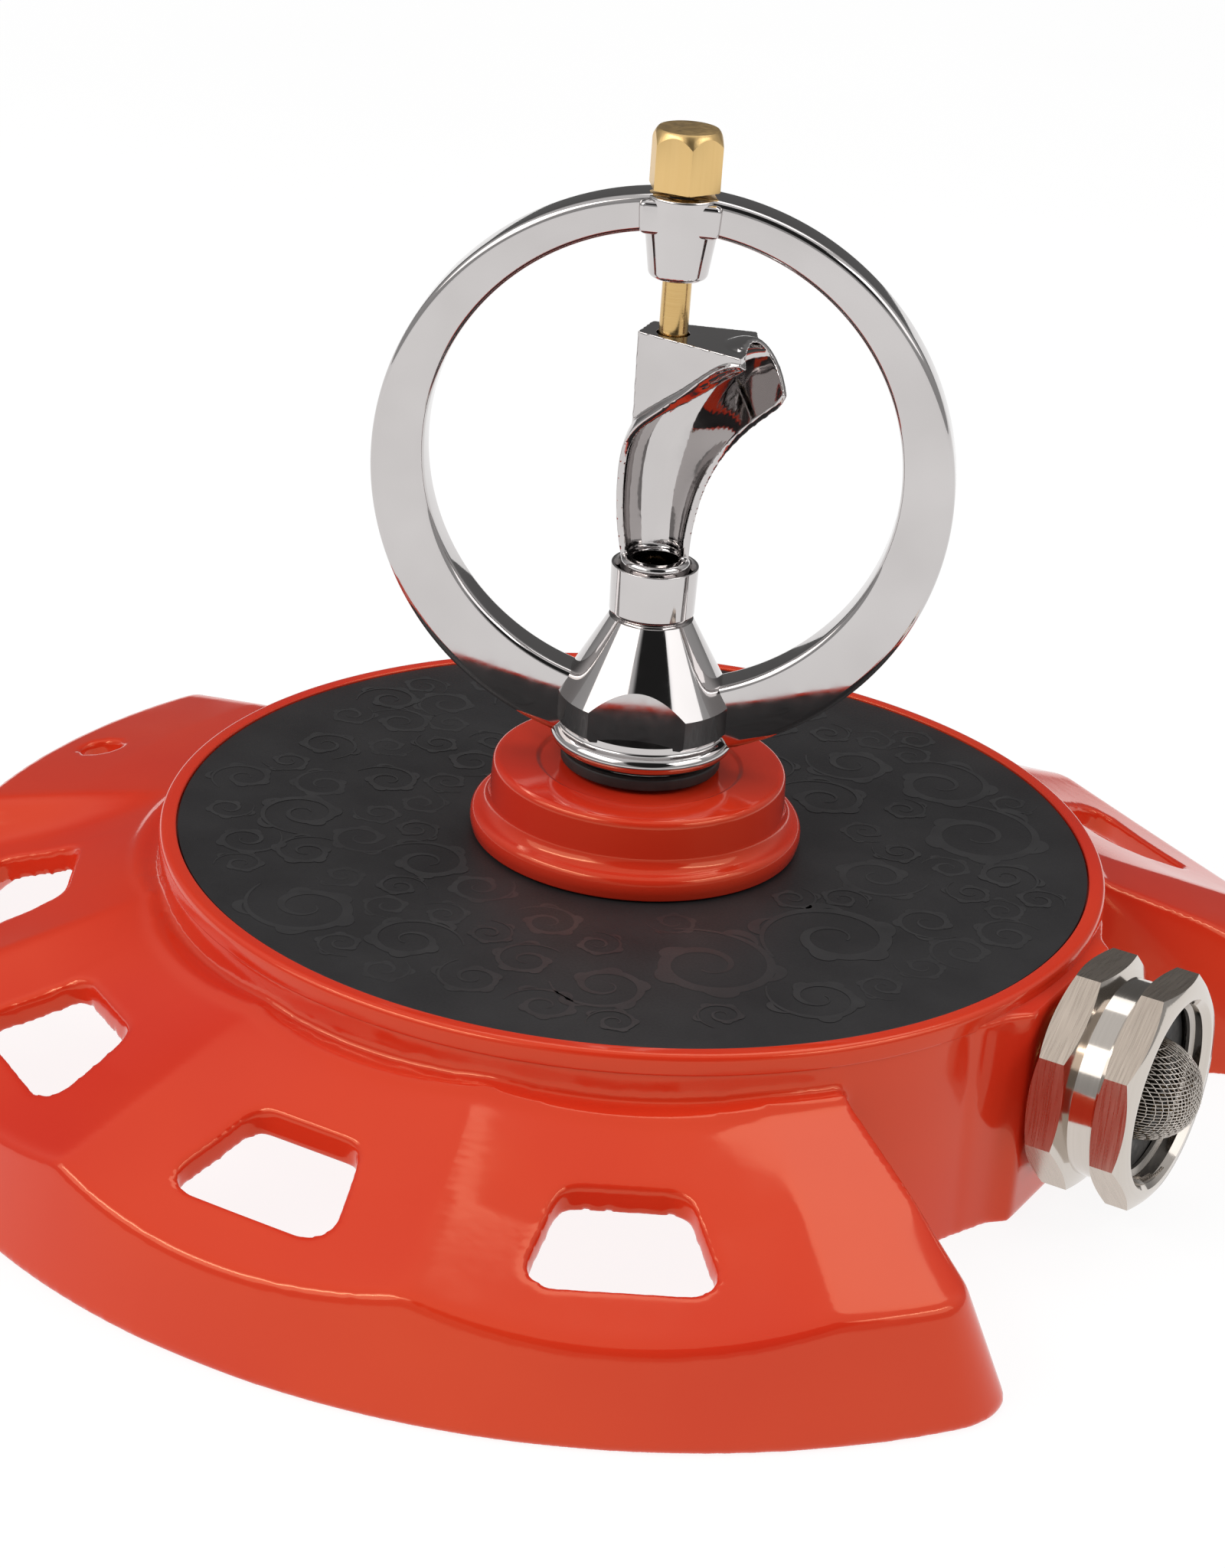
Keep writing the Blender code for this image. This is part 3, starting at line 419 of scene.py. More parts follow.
def cavity_section(angle, corner):
    """Closed outline of the hollow under the skirt."""
    hollow = dish(angle)
    edge_r, edge_z = skirt_edge(angle)
    inner_z = LEDGE_Z - (3.1 + 0.9 * hollow) * MM
    middle_z = 0.5 * (inner_z + edge_z - WALL) - 1.2 * MM * hollow
    return [
        (60.0 * MM, inner_z),
        (71.2 * MM, inner_z),
        (0.5 * (71.2 * MM + edge_r) - corner - MM, middle_z),
        (edge_r - 2.6 * MM, edge_z - WALL - 0.3 * MM),
        (RIM_RADIUS - WALL, -2 * MM),
        (60.0 * MM, -2 * MM),
    ]


def notch_end(height):
    """Angle from +X at which the skirt ends beside the notch, wider higher up."""
    return NOTCH_HALF + NOTCH_DRAFT * max(height, 0.0)


def swept_skirt(name, section, inset, corner_radius, steps):
    """Sweep a section round the base from one end of the notch to the other."""
    bm = bmesh.new()
    rings = []
    ends = [i * i / 64 for i in range(9)] if corner_radius else [0.0]
    fractions = [e * corner_radius / RIM_RADIUS for e in ends]
    span = math.pi - notch_end(EDGE_Z)
    angles = [math.pi - span + f for f in fractions]
    angles += [math.pi - span + 2 * span * i / steps for i in range(1, steps)]
    angles += [math.pi + span - f for f in reversed(fractions)]
    angles.sort()
    for angle in angles:
        reach = min(angle - (math.pi - span), math.pi + span - angle) * RIM_RADIUS
        short = max(corner_radius - reach, 0.0)
        corner = 0.0
        if corner_radius:
            corner = corner_radius - math.sqrt(corner_radius ** 2 - short ** 2)
        near_end = min(reach / (12 * MM), 1.0)
        side = 1 if angle < math.pi else -1
        ring = []
        for radius, height in section(angle, corner):
            drift = notch_end(height) - notch_end(EDGE_Z) + math.asin(inset / radius)
            at = angle + side * drift * (1 - near_end)
            ring.append(bm.verts.new((radius * math.cos(at), radius * math.sin(at), height)))
        rings.append(ring)
    bridge(bm, rings, close_rings=False, caps=True)
    return add_object(name, bm, RED, BASE_PLACE)


def window_tool(name, centre_angle):
    """Rounded trapezoid, bowed to follow the rim, to cut one window."""
    outline = filleted([
        (WINDOW_INNER, -WINDOW_INNER_HALF, 3.0 * MM), (WINDOW_OUTER, -WINDOW_OUTER_HALF, 4.4 * MM),
        (WINDOW_OUTER, WINDOW_OUTER_HALF, 4.4 * MM), (WINDOW_INNER, WINDOW_INNER_HALF, 3.0 * MM),
    ], 8)
    turn = Matrix.Rotation(centre_angle, 2)
    bowed = []
    for x, y in outline:
        bow = (y * y - 0.5 * WINDOW_OUTER_HALF ** 2) / (2 * WINDOW_OUTER)
        bowed.append(tuple(turn @ Vector((x - bow, y))))
    return prism(name, bowed, 4 * MM, 34 * MM, RED, BASE_PLACE)


def base_casting():
    """Drum, dished skirt with windows and inlet boss, cast as one soft-edged skin."""
    body = lathe("sprinkler_base", [
        (0.0, 0.0), (DRUM_RADIUS + 0.4 * MM, 0.0), (DRUM_RADIUS + 0.2 * MM, 20 * MM),
        (DRUM_RADIUS, DRUM_TOP_Z), (DRUM_RADIUS - 1.0 * MM, 34.0 * MM), (0.0, PLATE_Z),
    ], 288, RED, BASE_PLACE)
    skirt = swept_skirt("skirt_tool", skirt_section, 0.0, END_RADIUS, 288)
    boss = prism("boss_tool", filleted([
        (58.0 * MM, -27 * MM, 0), (66.3 * MM, -22.5 * MM, 3 * MM), (69.2 * MM, -15.2 * MM, 3 * MM),
        (71.5 * MM, -12.8 * MM, 0.4 * MM), (71.5 * MM, 12.8 * MM, 0.4 * MM),
        (69.2 * MM, 15.2 * MM, 3 * MM), (66.3 * MM, 22.5 * MM, 3 * MM), (58.0 * MM, 27 * MM, 0),
    ]), 0.0, DRUM_TOP_Z, RED, BASE_PLACE)
    combine(body, [skirt, boss], 'UNION')
    hollow = rod("hollow_tool", DRUM_RADIUS - WALL, -2 * MM, 31 * MM, 192, RED, BASE_PLACE)
    cavity = swept_skirt("cavity_tool", cavity_section, WALL, 0.0, 288)
    combine(body, [hollow, cavity], 'DIFFERENCE')
    socket = rod("socket_tool", 12 * MM, 50 * MM, 69.5 * MM, 64, RED, INLET_PLACE)
    combine(body, [socket], 'UNION')
    cutters = [
        rod("bore_tool", INLET_BORE, 45 * MM, 80 * MM, 64, RED, INLET_PLACE),
        rod("riser_tool", RISER_BORE, 25 * MM, 40 * MM, 64, RED, BASE_PLACE),
    ]
    for i in range(3):
        turn = Matrix.Rotation(math.radians(60 + 120 * i), 4, 'Z')
        place = BASE_PLACE @ turn @ Matrix.Translation((SCREW_CIRCLE, 0, 0))
        cutters.append(rod(f"screw_tool_{i}", SCREW_BORE, 25 * MM, 40 * MM, 24, RED, place))
    for side in (-1, 1):
        for sector in range(RIDGED_SECTORS):
            angle = side * (FIRST_RIDGE + (sector + 0.5) * SECTOR)
            cutters.append(window_tool(f"window_tool_{side}_{sector}", angle))
    pad = BASE_PLACE @ Matrix.Rotation(STAKE_ANGLE, 4, 'Z') @ Matrix.Translation((STAKE_CIRCLE, 0, 0))
    cutters.append(rod("stake_tool", STAKE_BORE, 10 * MM, 34 * MM, 40, RED, pad))
    combine(body, cutters, 'DIFFERENCE')
    recast(body, 0.5 * MM, 14)
    show(body, "base", "red_paint", "base_casting")

    rim = lathe("label_rim", filleted([
        (LABEL_RADIUS - 1.2 * MM, PLATE_Z - 1.2 * MM, 0), (DRUM_RADIUS - 0.2 * MM, 32.2 * MM, 0),
        (DRUM_RADIUS + 0.25 * MM, 32.4 * MM, 0.2 * MM), (DRUM_RADIUS + 0.1 * MM, 35.25 * MM, 1.1 * MM),
        (LABEL_RADIUS + 0.2 * MM, 35.25 * MM, 0.35 * MM), (LABEL_RADIUS + 0.2 * MM, PLATE_Z, 0),
        (LABEL_RADIUS - 1.2 * MM, PLATE_Z, 0),
    ], 6), 256, RED, BASE_PLACE)
    show(rim, "base", "red_paint")


# ---------------------------------------------------------------- label
LABEL_HOLE = 18.5 * MM
LABEL_THICKNESS = 0.8 * MM
SCROLL_COUNT = 96
SCROLL_TRIES = 6000
SCROLL_SIZES = (4.0, 5.5, 7.5, 9.5, 11.5)
SCROLL_TURNS = 3.3 * math.pi
SCROLL_HEIGHT = 0.020 * MM
LAYER_STEP = 0.012 * MM
LEAF_STEP = 0.002 * MM
LEAVES = 5


def label_disc():
    """Charcoal disc around the collar; the printed scroll on top is laid separately."""
    profile = filleted([
        (LABEL_HOLE, DECK_Z - LABEL_THICKNESS, 0), (LABEL_RADIUS, DECK_Z - LABEL_THICKNESS, 0),
        (LABEL_RADIUS, DECK_Z, 0.15 * MM), (LABEL_HOLE, DECK_Z, 0),
    ], 3)
    disc = lathe("label_overlay", profile, 256, LABEL, BASE_PLACE)
    show(disc, "base", "label_charcoal", "label_disc")


def ribbon(bm, points, widths, height):
    """Flat strip of varying width along a path."""
    rails = []
    for i, point in enumerate(points):
        ahead = points[min(i + 1, len(points) - 1)] - points[max(i - 1, 0)]
        across = Vector((-ahead.y, ahead.x)).normalized() * 0.5 * widths[i]
        rails.append([bm.verts.new((*(point + side * across), height)) for side in (-1, 1)])
    for before, after in zip(rails, rails[1:]):
        bm.faces.new((before[0], before[1], after[1], after[0]))


def scroll(bm, centre, size, heading, hand, height):
    """One curl: a tightening spiral stem with tapering leaves on its outer side."""
    points = []
    widths = []
    steps = 96
    for i in range(steps + 1):
        t = i / steps
        radius = size * (1 - 0.86 * t ** 0.8)
        angle = heading + hand * SCROLL_TURNS * t
        points.append(centre + radius * Vector((math.cos(angle), math.sin(angle))))
        widths.append(size * (0.03 + 0.13 * math.sin(math.pi * min(t * 1.15, 1.0))))
    ribbon(bm, points, widths, height)
    for leaf in range(LEAVES):
        root = 6 + leaf * 11
        start = points[root]
        angle = heading + hand * SCROLL_TURNS * root / steps
        blade = []
        blade_widths = []
        for i in range(17):
            t = i / 16
            bend = angle + hand * (0.5 + 1.5 * t)
            reach = size * 0.52 * t * (1 - 0.07 * leaf)
            blade.append(start + reach * Vector((math.cos(bend), math.sin(bend))))
            blade_widths.append(size * 0.19 * math.sin(math.pi * (0.06 + 0.94 * t)) * (1 - 0.5 * t))
        ribbon(bm, blade, blade_widths, height + LEAF_STEP * (leaf + 1))


def label_scroll():
    """Generic tone-on-tone foliage curls printed on the label."""
    draw = random.Random(7)
    bm = bmesh.new()
    placed = []
    tries = 0
    while len(placed) < SCROLL_COUNT and tries < SCROLL_TRIES:
        tries += 1
        angle = draw.uniform(0, 2 * math.pi)
        size = draw.choice(SCROLL_SIZES) * MM
        radius = math.sqrt(draw.uniform(0.16, 1.0)) * 62 * MM
        if radius + size > LABEL_RADIUS - 1.5 * MM or radius - size < 25.5 * MM:
            continue
        centre = radius * Vector((math.cos(angle), math.sin(angle)))
        if any((centre - other).length < 0.80 * (size + reach) for other, reach in placed):
            continue
        placed.append((centre, size))
        height = DECK_Z + SCROLL_HEIGHT + LAYER_STEP * (len(placed) % 5)
        scroll(bm, centre, size, draw.uniform(0, 2 * math.pi), draw.choice((-1, 1)), height)
    piece = add_object("label_scrollwork", bm, SCROLL, BASE_PLACE)
    show(piece, "base", "label_charcoal")


# ---------------------------------------------------------------- bearing collar and washer
COLLAR_FLANGE = 24.5 * MM
COLLAR_RADIUS = 21.5 * MM
COLLAR_TOP_Z = 46.5 * MM


def bearing():
    """Red collar with its foot flange, and the black washer that the head turns on."""
    collar = lathe("collar", filleted([
        (RISER_BORE, 34.2 * MM, 0), (18.2 * MM, 34.2 * MM, 0), (18.2 * MM, 35.25 * MM, 0),
        (COLLAR_FLANGE - 0.4 * MM, 35.25 * MM, 0.3 * MM),
        (COLLAR_FLANGE + 0.05 * MM, 37.0 * MM, 1.2 * MM),
        (COLLAR_FLANGE - 0.3 * MM, 38.6 * MM, 1.5 * MM), (22.6 * MM, 39.2 * MM, 0.8 * MM),
        (COLLAR_RADIUS + 0.3 * MM, 40.4 * MM, 0.8 * MM), (COLLAR_RADIUS, COLLAR_TOP_Z, 1.2 * MM),
        (15.2 * MM, COLLAR_TOP_Z, 0.2 * MM), (14.6 * MM, COLLAR_TOP_Z - 0.4 * MM, 0.2 * MM),
        (RISER_BORE, COLLAR_TOP_Z - 0.4 * MM, 0),
    ], 7), 192, RED, BASE_PLACE)
    show(collar, "base", "red_paint", "bearing_collar")
    washer = lathe("bearing_washer", filleted([
        (4.5 * MM, 46.8 * MM, 0), (11.7 * MM, 46.8 * MM, 0.35 * MM),
        (11.7 * MM, 48.6 * MM, 0.35 * MM), (4.5 * MM, 48.6 * MM, 0),
    ]), 128, RUBBER, BASE_PLACE)
    show(washer, "base", "black_rubber", "thrust_washer")


# ---------------------------------------------------------------- swivel nut and strainer
NUT_FLAT = 15.95 * MM
NUT_SIDES = 8
NUT_BORE = 13.0 * MM
TAIL_BORE = 9.3 * MM
THREAD_PITCH = 2.21 * MM
SCREEN_RADIUS = 7.5 * MM
SCREEN_WIRE = 0.10 * MM
SCREEN_PITCH = 0.52 * MM


def inlet_nut():
    """Two eight-sided bands turned off at their corners, with a waist between them."""
    flat = NUT_FLAT
    low, high = NUT_BACK_X, NUT_FRONT_X
    waist_low, waist_high = low + 5.5 * MM, low + 9.8 * MM
    nut = rod("swivel_nut", flat / math.cos(math.pi / NUT_SIDES), low - MM, high + MM, NUT_SIDES,
              NICKEL, INLET_PLACE, NUT_TURN)
    turned = lathe("nut_tool", [
        (0.0, low), (flat - 0.5 * MM, low), (flat + 1.6 * MM, low + 1.1 * MM),
        (flat + 1.6 * MM, waist_low - 1.0 * MM), (flat - 1.5 * MM, waist_low + 0.5 * MM),
        (flat - 1.5 * MM, waist_high - 0.5 * MM), (flat + 1.6 * MM, waist_high + 1.0 * MM),
        (flat + 1.6 * MM, high - 1.5 * MM), (flat - 0.9 * MM, high), (0.0, high),
    ], 144, POLISHED, INLET_PLACE)
    combine(nut, [turned], 'INTERSECT')
    bore = lathe("nut_bore_tool", [
        (0.0, low - 3 * MM), (TAIL_BORE, low - 3 * MM), (TAIL_BORE, low + 6.6 * MM),
        (NUT_BORE, low + 6.6 * MM), (NUT_BORE, high - MM), (NUT_BORE + MM, high + 0.1 * MM),
        (NUT_BORE + MM, high + 3 * MM), (0.0, high + 3 * MM),
    ], 144, POLISHED, INLET_PLACE)
    combine(nut, [bore], 'DIFFERENCE')
    show(nut, "hose_nut", "nickel_plate", "inlet_nut")


def hose_thread():
    """Helical ridge of the hose thread inside the nut's mouth."""
    bm = bmesh.new()
    start = NUT_BACK_X + 9.6 * MM
    end = NUT_FRONT_X - 1.2 * MM
    per_turn = 96
    count = int((end - start) / THREAD_PITCH * per_turn)
    rings = []
    for i in range(count + 1):
        angle = 2 * math.pi * i / per_turn
        along = start + THREAD_PITCH * i / per_turn
        fade = min(1.0, i / 20, (count - i) / 20)
        root = NUT_BORE + 0.2 * MM
        crest = root - (0.05 + 0.95 * fade) * MM
        ring = []
        for radius, shift in ((root, -0.85), (crest, -0.25), (crest, 0.25), (root, 0.85)):
            ring.append(bm.verts.new((radius * math.cos(angle), radius * math.sin(angle),
                                      along + shift * MM)))
        rings.append(ring)
    bridge(bm, rings, close_rings=False, caps=True)
    thread = add_object("hose_thread", bm, THREAD, INLET_PLACE)
    show(thread, "hose_nut", "nickel_plate")


def strainer():
    """Dome of woven wire in its rubber washer."""
    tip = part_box("strainer_screen")[1].x - AXIS_X
    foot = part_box("strainer_screen")[0].x - AXIS_X + 1.2 * MM
    radius, wire, pitch = SCREEN_RADIUS, SCREEN_WIRE, SCREEN_PITCH
    bm = bmesh.new()

    def dome(u, v, lift):
        """Point of the dome over (u, v), lifted along the inlet's axis."""
        share = min(math.hypot(u, v) / radius, 1.0)
        height = foot + (tip - foot - 2 * wire) * math.sqrt(max(1 - share ** 2.4, 0.0)) ** 1.05
        return Vector((u, v, height + lift))

    lines = int(radius / pitch)
    for family in (0, 1):
        for line in range(-lines, lines + 1):
            offset = (line + 0.5 * family) * pitch
            if abs(offset) >= radius * 0.985:
                continue
            half = math.sqrt((radius * 0.995) ** 2 - offset ** 2)
            steps = max(int(2 * half / (pitch * 0.5)), 4)
            path = []
            for i in range(steps + 1):
                run = half * math.sin(math.pi * (i / steps - 0.5))
                weave = 0.8 * wire * math.cos(math.pi * (run / pitch + line))
                if family:
                    path.append(dome(offset, run, -weave))
                else:
                    path.append(dome(run, offset, weave))
            rings = []
            for i, point in enumerate(path):
                ahead = (path[min(i + 1, steps)] - path[max(i - 1, 0)]).normalized()
                side = ahead.cross(Vector((0, 0, 1)))
                side = side.normalized() if side.length > 1e-6 else Vector((1, 0, 0))
                up = side.cross(ahead)
                ring = []
                for k in range(5):
                    turn = 2 * math.pi * k / 5
                    ring.append(bm.verts.new(point + wire * (math.cos(turn) * side
                                                            + math.sin(turn) * up)))
                rings.append(ring)
            bridge(bm, rings, close_rings=False, caps=True)
    mesh_piece = add_object("strainer_wire", bm, WIRE, INLET_PLACE, 180)
    show(mesh_piece, "hose_nut", "stainless_mesh", "strainer_screen")
    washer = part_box("hose_washer")
    low, high = washer[0].x - AXIS_X, washer[1].x - AXIS_X
    ring = lathe("strainer_washer", filleted([
        (7.6 * MM, low, 0.2 * MM), (12.6 * MM, low, 0.2 * MM), (12.6 * MM, high, 0.5 * MM),
        (7.6 * MM, high, 0.5 * MM),
    ]), 96, RUBBER, INLET_PLACE)
    show(ring, "hose_nut", "black_rubber", "hose_washer")


# ---------------------------------------------------------------- rotating head
RING_HALF_WIDTH = 3.2 * MM
RING_OUTER_Z, RING_OUTER_RADIUS = 90.5 * MM, 41.5 * MM
RING_INNER_Z, RING_INNER_RADIUS = 92.8 * MM, 33.9 * MM
HUB_RADIUS = 12.7 * MM
HUB_FLAT = 10.6 * MM
HUB_FOOT_Z = 53.2 * MM
HUB_SHOULDER_Z = 57.7 * MM
NECK_FOOT_Z = 69.5 * MM
NECK_FOOT_RADIUS = 6.1 * MM
NECK_TOP_Z = 77.5 * MM
NECK_RADIUS = 6.3 * MM
STEM_BORE = 2.35 * MM
BOSS_FOOT_Z = 119.8 * MM
BOSS_TOP_Z = 131.6 * MM


def ring_body(name):
    """Ring whose inner circle sits higher than its outer one, so its foot is thicker."""
    steps = 192
    half = RING_HALF_WIDTH
    bm = bmesh.new()
    rings = []
    for i in range(steps):
        angle = 2 * math.pi * i / steps
        out = Vector((math.cos(angle), 0, math.sin(angle)))
        outer = Vector((0, 0, RING_OUTER_Z)) + out * RING_OUTER_RADIUS
        inner = Vector((0, 0, RING_INNER_Z)) + out * RING_INNER_RADIUS
        middle = 0.5 * (outer + inner)
        across = (outer - inner).normalized()
        reach = 0.5 * (outer - inner).length
        section = filleted([
            (reach, -half, 1.25 * MM), (reach, half, 1.25 * MM),
            (-reach, half, 1.25 * MM), (-reach, -half, 1.25 * MM),
        ], 6)
        rings.append([bm.verts.new(middle + across * a + Vector((0, b, 0))) for a, b in section])
    bridge(bm, rings, close_rings=True, caps=False)
    return add_object(name, bm, CHROME, HEAD_PLACE, 50)


def head():
    """Flange, hub with two wrench flats, neck with its cup, ring and top boss."""
    hub = lathe("hub", [
        (0.0, HUB_FOOT_Z), (HUB_RADIUS - 0.25 * MM, HUB_FOOT_Z),
        (HUB_RADIUS, HUB_FOOT_Z + 0.4 * MM), (HUB_RADIUS, HUB_SHOULDER_Z),
        (NECK_FOOT_RADIUS, NECK_FOOT_Z), (0.0, NECK_FOOT_Z),
    ], 192, CHROME, HEAD_PLACE)
    beyond = 16 * MM
    flats = [prism(f"flat_tool_{side}", [
        (-beyond, side * HUB_FLAT), (beyond, side * HUB_FLAT),
        (beyond, side * beyond), (-beyond, side * beyond),
    ], 50 * MM, 75 * MM, CHROME, HEAD_PLACE) for side in (-1, 1)]
    combine(hub, flats, 'DIFFERENCE', sharp_angle=14)
    show(hub, "head", "chrome", "head_casting")

    flange = lathe("hub_flange", filleted([
        (4.5 * MM, 49.4 * MM, 0), (12.1 * MM, 49.4 * MM, 0.4 * MM),
        (13.2 * MM, 50.2 * MM, 0.6 * MM), (13.45 * MM, 51.2 * MM, 0.7 * MM),
        (12.9 * MM, 52.1 * MM, 0.5 * MM), (12.0 * MM, 52.4 * MM, 0.4 * MM),
        (11.9 * MM, 53.6 * MM, 0), (4.5 * MM, 53.6 * MM, 0),
    ], 6), 144, CHROME, HEAD_PLACE)
    show(flange, "head", "chrome")

    neck = lathe("neck", filleted([
        (3.0 * MM, 69.0 * MM, 0), (5.6 * MM, 69.0 * MM, 0), (5.75 * MM, 69.9 * MM, 0.3 * MM),
        (6.15 * MM, 70.3 * MM, 0.3 * MM), (NECK_RADIUS, NECK_TOP_Z, 0.3 * MM),
        (NECK_RADIUS - 0.35 * MM, NECK_TOP_Z, 0.2 * MM), (5.3 * MM, 76.3 * MM, 0.2 * MM),
        (5.3 * MM, 69.4 * MM, 0.2 * MM), (3.0 * MM, 69.4 * MM, 0),
    ], 5), 128, CHROME, HEAD_PLACE)
    show(neck, "head", "chrome")

    show(ring_body("head_ring"), "head", "chrome")

    boss = lathe("top_boss", filleted([
        (STEM_BORE, BOSS_FOOT_Z, 0.2 * MM), (4.1 * MM, BOSS_FOOT_Z, 1.0 * MM),
        (5.25 * MM, 127.8 * MM, 1.0 * MM), (5.35 * MM, BOSS_TOP_Z, 0.4 * MM),
        (STEM_BORE, BOSS_TOP_Z, 0.2 * MM),
    ], 6), 96, CHROME, HEAD_PLACE)
    show(boss, "head", "chrome")
    bm = bmesh.new()
    outline = filleted([
        (-5.5 * MM, 126.4 * MM, 0.9 * MM), (5.5 * MM, 126.4 * MM, 0.9 * MM),
        (5.8 * MM, 131.1 * MM, 1.1 * MM), (-5.8 * MM, 131.1 * MM, 1.1 * MM),
    ], 6)
    rings = [[bm.verts.new((x, y, z)) for x, z in outline] for y in (-4.3 * MM, 4.3 * MM)]
    bridge(bm, rings, close_rings=False, caps=True)
    block = add_object("boss_block", bm, CHROME, HEAD_PLACE)
    break_edges(block, 0.9 * MM, 5)
    show(block, "head", "chrome")


# ---------------------------------------------------------------- scoop
# Outer edge on the left, outer edge on the right, deepest point behind, rim width on the left.
SCOOP_SECTIONS = [
    ((-5.0, -0.3, 77.8), (4.7, -0.3, 77.8), (-0.2, 4.7, 77.8), 1.0),
    ((-6.0, -0.5, 83.5), (4.9, -0.4, 82.6), (-0.6, 5.3, 83.4), 1.0),
    ((-6.3, -0.8, 89.8), (5.9, -0.5, 88.2), (-0.8, 5.8, 89.7), 1.0),
    ((-5.8, -1.4, 94.8), (7.3, -0.7, 92.2), (-0.2, 6.2, 95.2), 1.0),
    ((-4.2, -2.3, 98.2), (8.7, -0.9, 94.9), (1.0, 6.2, 99.2), 1.1),
    ((-0.8, -3.8, 101.6), (10.3, -1.2, 97.2), (3.2, 5.6, 103.1), 1.3),
    ((2.0, -5.1, 104.2), (11.9, -1.6, 99.2), (5.4, 4.6, 106.3), 1.8),
    ((4.7, -6.5, 107.1), (13.4, -2.0, 100.8), (7.6, 3.6, 108.8), 2.3),
    ((7.0, -7.9, 109.3), (14.8, -2.4, 102.2), (9.5, 2.6, 110.5), 2.5),
    ((8.9, -9.0, 110.4), (16.0, -2.7, 103.5), (11.1, 1.8, 111.4), 2.2),
    ((10.4, -9.4, 110.7), (16.8, -2.8, 105.1), (12.3, 1.2, 111.7), 1.3),
]
SCOOP_WALL = 1.0


def curve_through(values, t):
    """Catmull-Rom value at t from 0 to 1 along a list of tuples."""
    span = len(values) - 1
    i = min(int(t * span), span - 1)
    f = t * span - i
    picked = [values[min(max(i + k, 0), span)] for k in (-1, 0, 1, 2)]
    result = []
    for a, b, c, d in zip(*picked):
        result.append(0.5 * (2 * b + (c - a) * f + (2 * a - 5 * b + 4 * c - d) * f * f
                             + (3 * b - a - 3 * c + d) * f ** 3))
    return result


def scoop_arcs(t, arc_steps):
    """Outer and inner arcs of the half-pipe at t along its length, in millimetres."""
    flat = [left + right + back + (rim,) for left, right, back, rim in SCOOP_SECTIONS]
    v = curve_through(flat, t)
    left, right, back, rim = Vector(v[0:3]), Vector(v[3:6]), Vector(v[6:9]), v[9]
    width = (right - left).normalized()
    inner_left = left + width * rim
    inner_right = right - width * SCOOP_WALL
    depth = (back - 0.5 * (left + right)).normalized()
    arcs = []
    for a, b, deep in ((left, right, back), (inner_left, inner_right, back - depth * SCOOP_WALL)):
        middle = 0.5 * (a + b)
        half = 0.5 * (a - b)
        drop = deep - middle
        arc = []
        for i in range(arc_steps + 1):
            turn = math.pi * i / arc_steps
            arc.append(middle + half * math.cos(turn) + drop * math.sin(turn))
        arcs.append(arc)
    return arcs[0], arcs[1], depth


def scoop():
    """Deflector: plug in the neck's cup, bent half-pipe, and the block on the stem."""
    length_steps, arc_steps = 60, 28
    bm = bmesh.new()
    rings = []
    for i in range(length_steps + 1):
        outer, inner, _ = scoop_arcs(i / length_steps, arc_steps)
        rings.append([bm.verts.new(p * MM) for p in outer + inner[::-1]])
    bridge(bm, rings, close_rings=False, caps=True)
    body = add_object("scoop_trough", bm, SCOOP_CHROME, HEAD_PLACE)

    bm = bmesh.new()
    rings = [[], []]
    for x, y, lean in ((-4.9, -1.2, 1.7), (10.3, -9.3, 1.0), (12.2, -1.0, 0.0), (11.4, 4.4, 0.0),
                       (-3.4, 4.6, 0.0)):
        underside = 96.0 + 0.55 * (x + 4.9)
        rings[0].append(bm.verts.new((x * MM, (y + lean) * MM, underside * MM)))
        rings[1].append(bm.verts.new((x * MM, y * MM, 111.8 * MM)))
    bridge(bm, rings, close_rings=False, caps=True)
    block = add_object("block_tool", bm, SCOOP_CHROME, HEAD_PLACE)

    bm = bmesh.new()
    rings = []
    for i in range(length_steps + 1):
        outer, inner, depth = scoop_arcs(i / length_steps, arc_steps)
        mid = [0.5 * (a + b) for a, b in zip(outer, inner)]
        front = [mid[-1] - depth * 14, mid[0] - depth * 14]
        rings.append([bm.verts.new(p * MM) for p in mid + front])
    beyond = Vector((5.0, -4.0, 2.0)) * MM
    rings.append([bm.verts.new(v.co + beyond) for v in rings[-1]])
    bridge(bm, rings, close_rings=False, caps=True)
    stream = add_object("stream_tool", bm, SCOOP_CHROME, HEAD_PLACE)
    combine(block, [stream], 'DIFFERENCE')

    plug = lathe("plug_tool", [
        (0.0, 72.2 * MM), (4.7 * MM, 72.2 * MM), (5.0 * MM, 72.5 * MM), (5.0 * MM, 78.0 * MM),
        (4.6 * MM, 78.5 * MM), (0.0, 78.5 * MM),
    ], 64, SCOOP_CHROME, HEAD_PLACE)
    combine(body, [block, plug], 'UNION')
    jet_bore = rod("jet_bore_tool", 3.3 * MM, 70 * MM, 80 * MM, 48, SCOOP_CHROME, HEAD_PLACE)
    stem_bore = rod("stem_bore_tool", STEM_BORE, 104.5 * MM, 116 * MM, 48, SCOOP_CHROME, HEAD_PLACE)
    combine(body, [jet_bore, stem_bore], 'DIFFERENCE')
    recast(body, 0.20 * MM, 4)
    body.name = "jet_scoop"
    show(body, "scoop", "chrome", "scoop")


# ---------------------------------------------------------------- stem and knob
STEM_FOOT_Z = 106.5 * MM
STEM_TOP_Z = 137.4 * MM
STEM_RADIUS = 2.05 * MM
CLIP_GROOVE_RADIUS = 1.6 * MM
KNOB_FOOT_Z = 132.4 * MM
KNOB_CORNER = 5.3 * MM


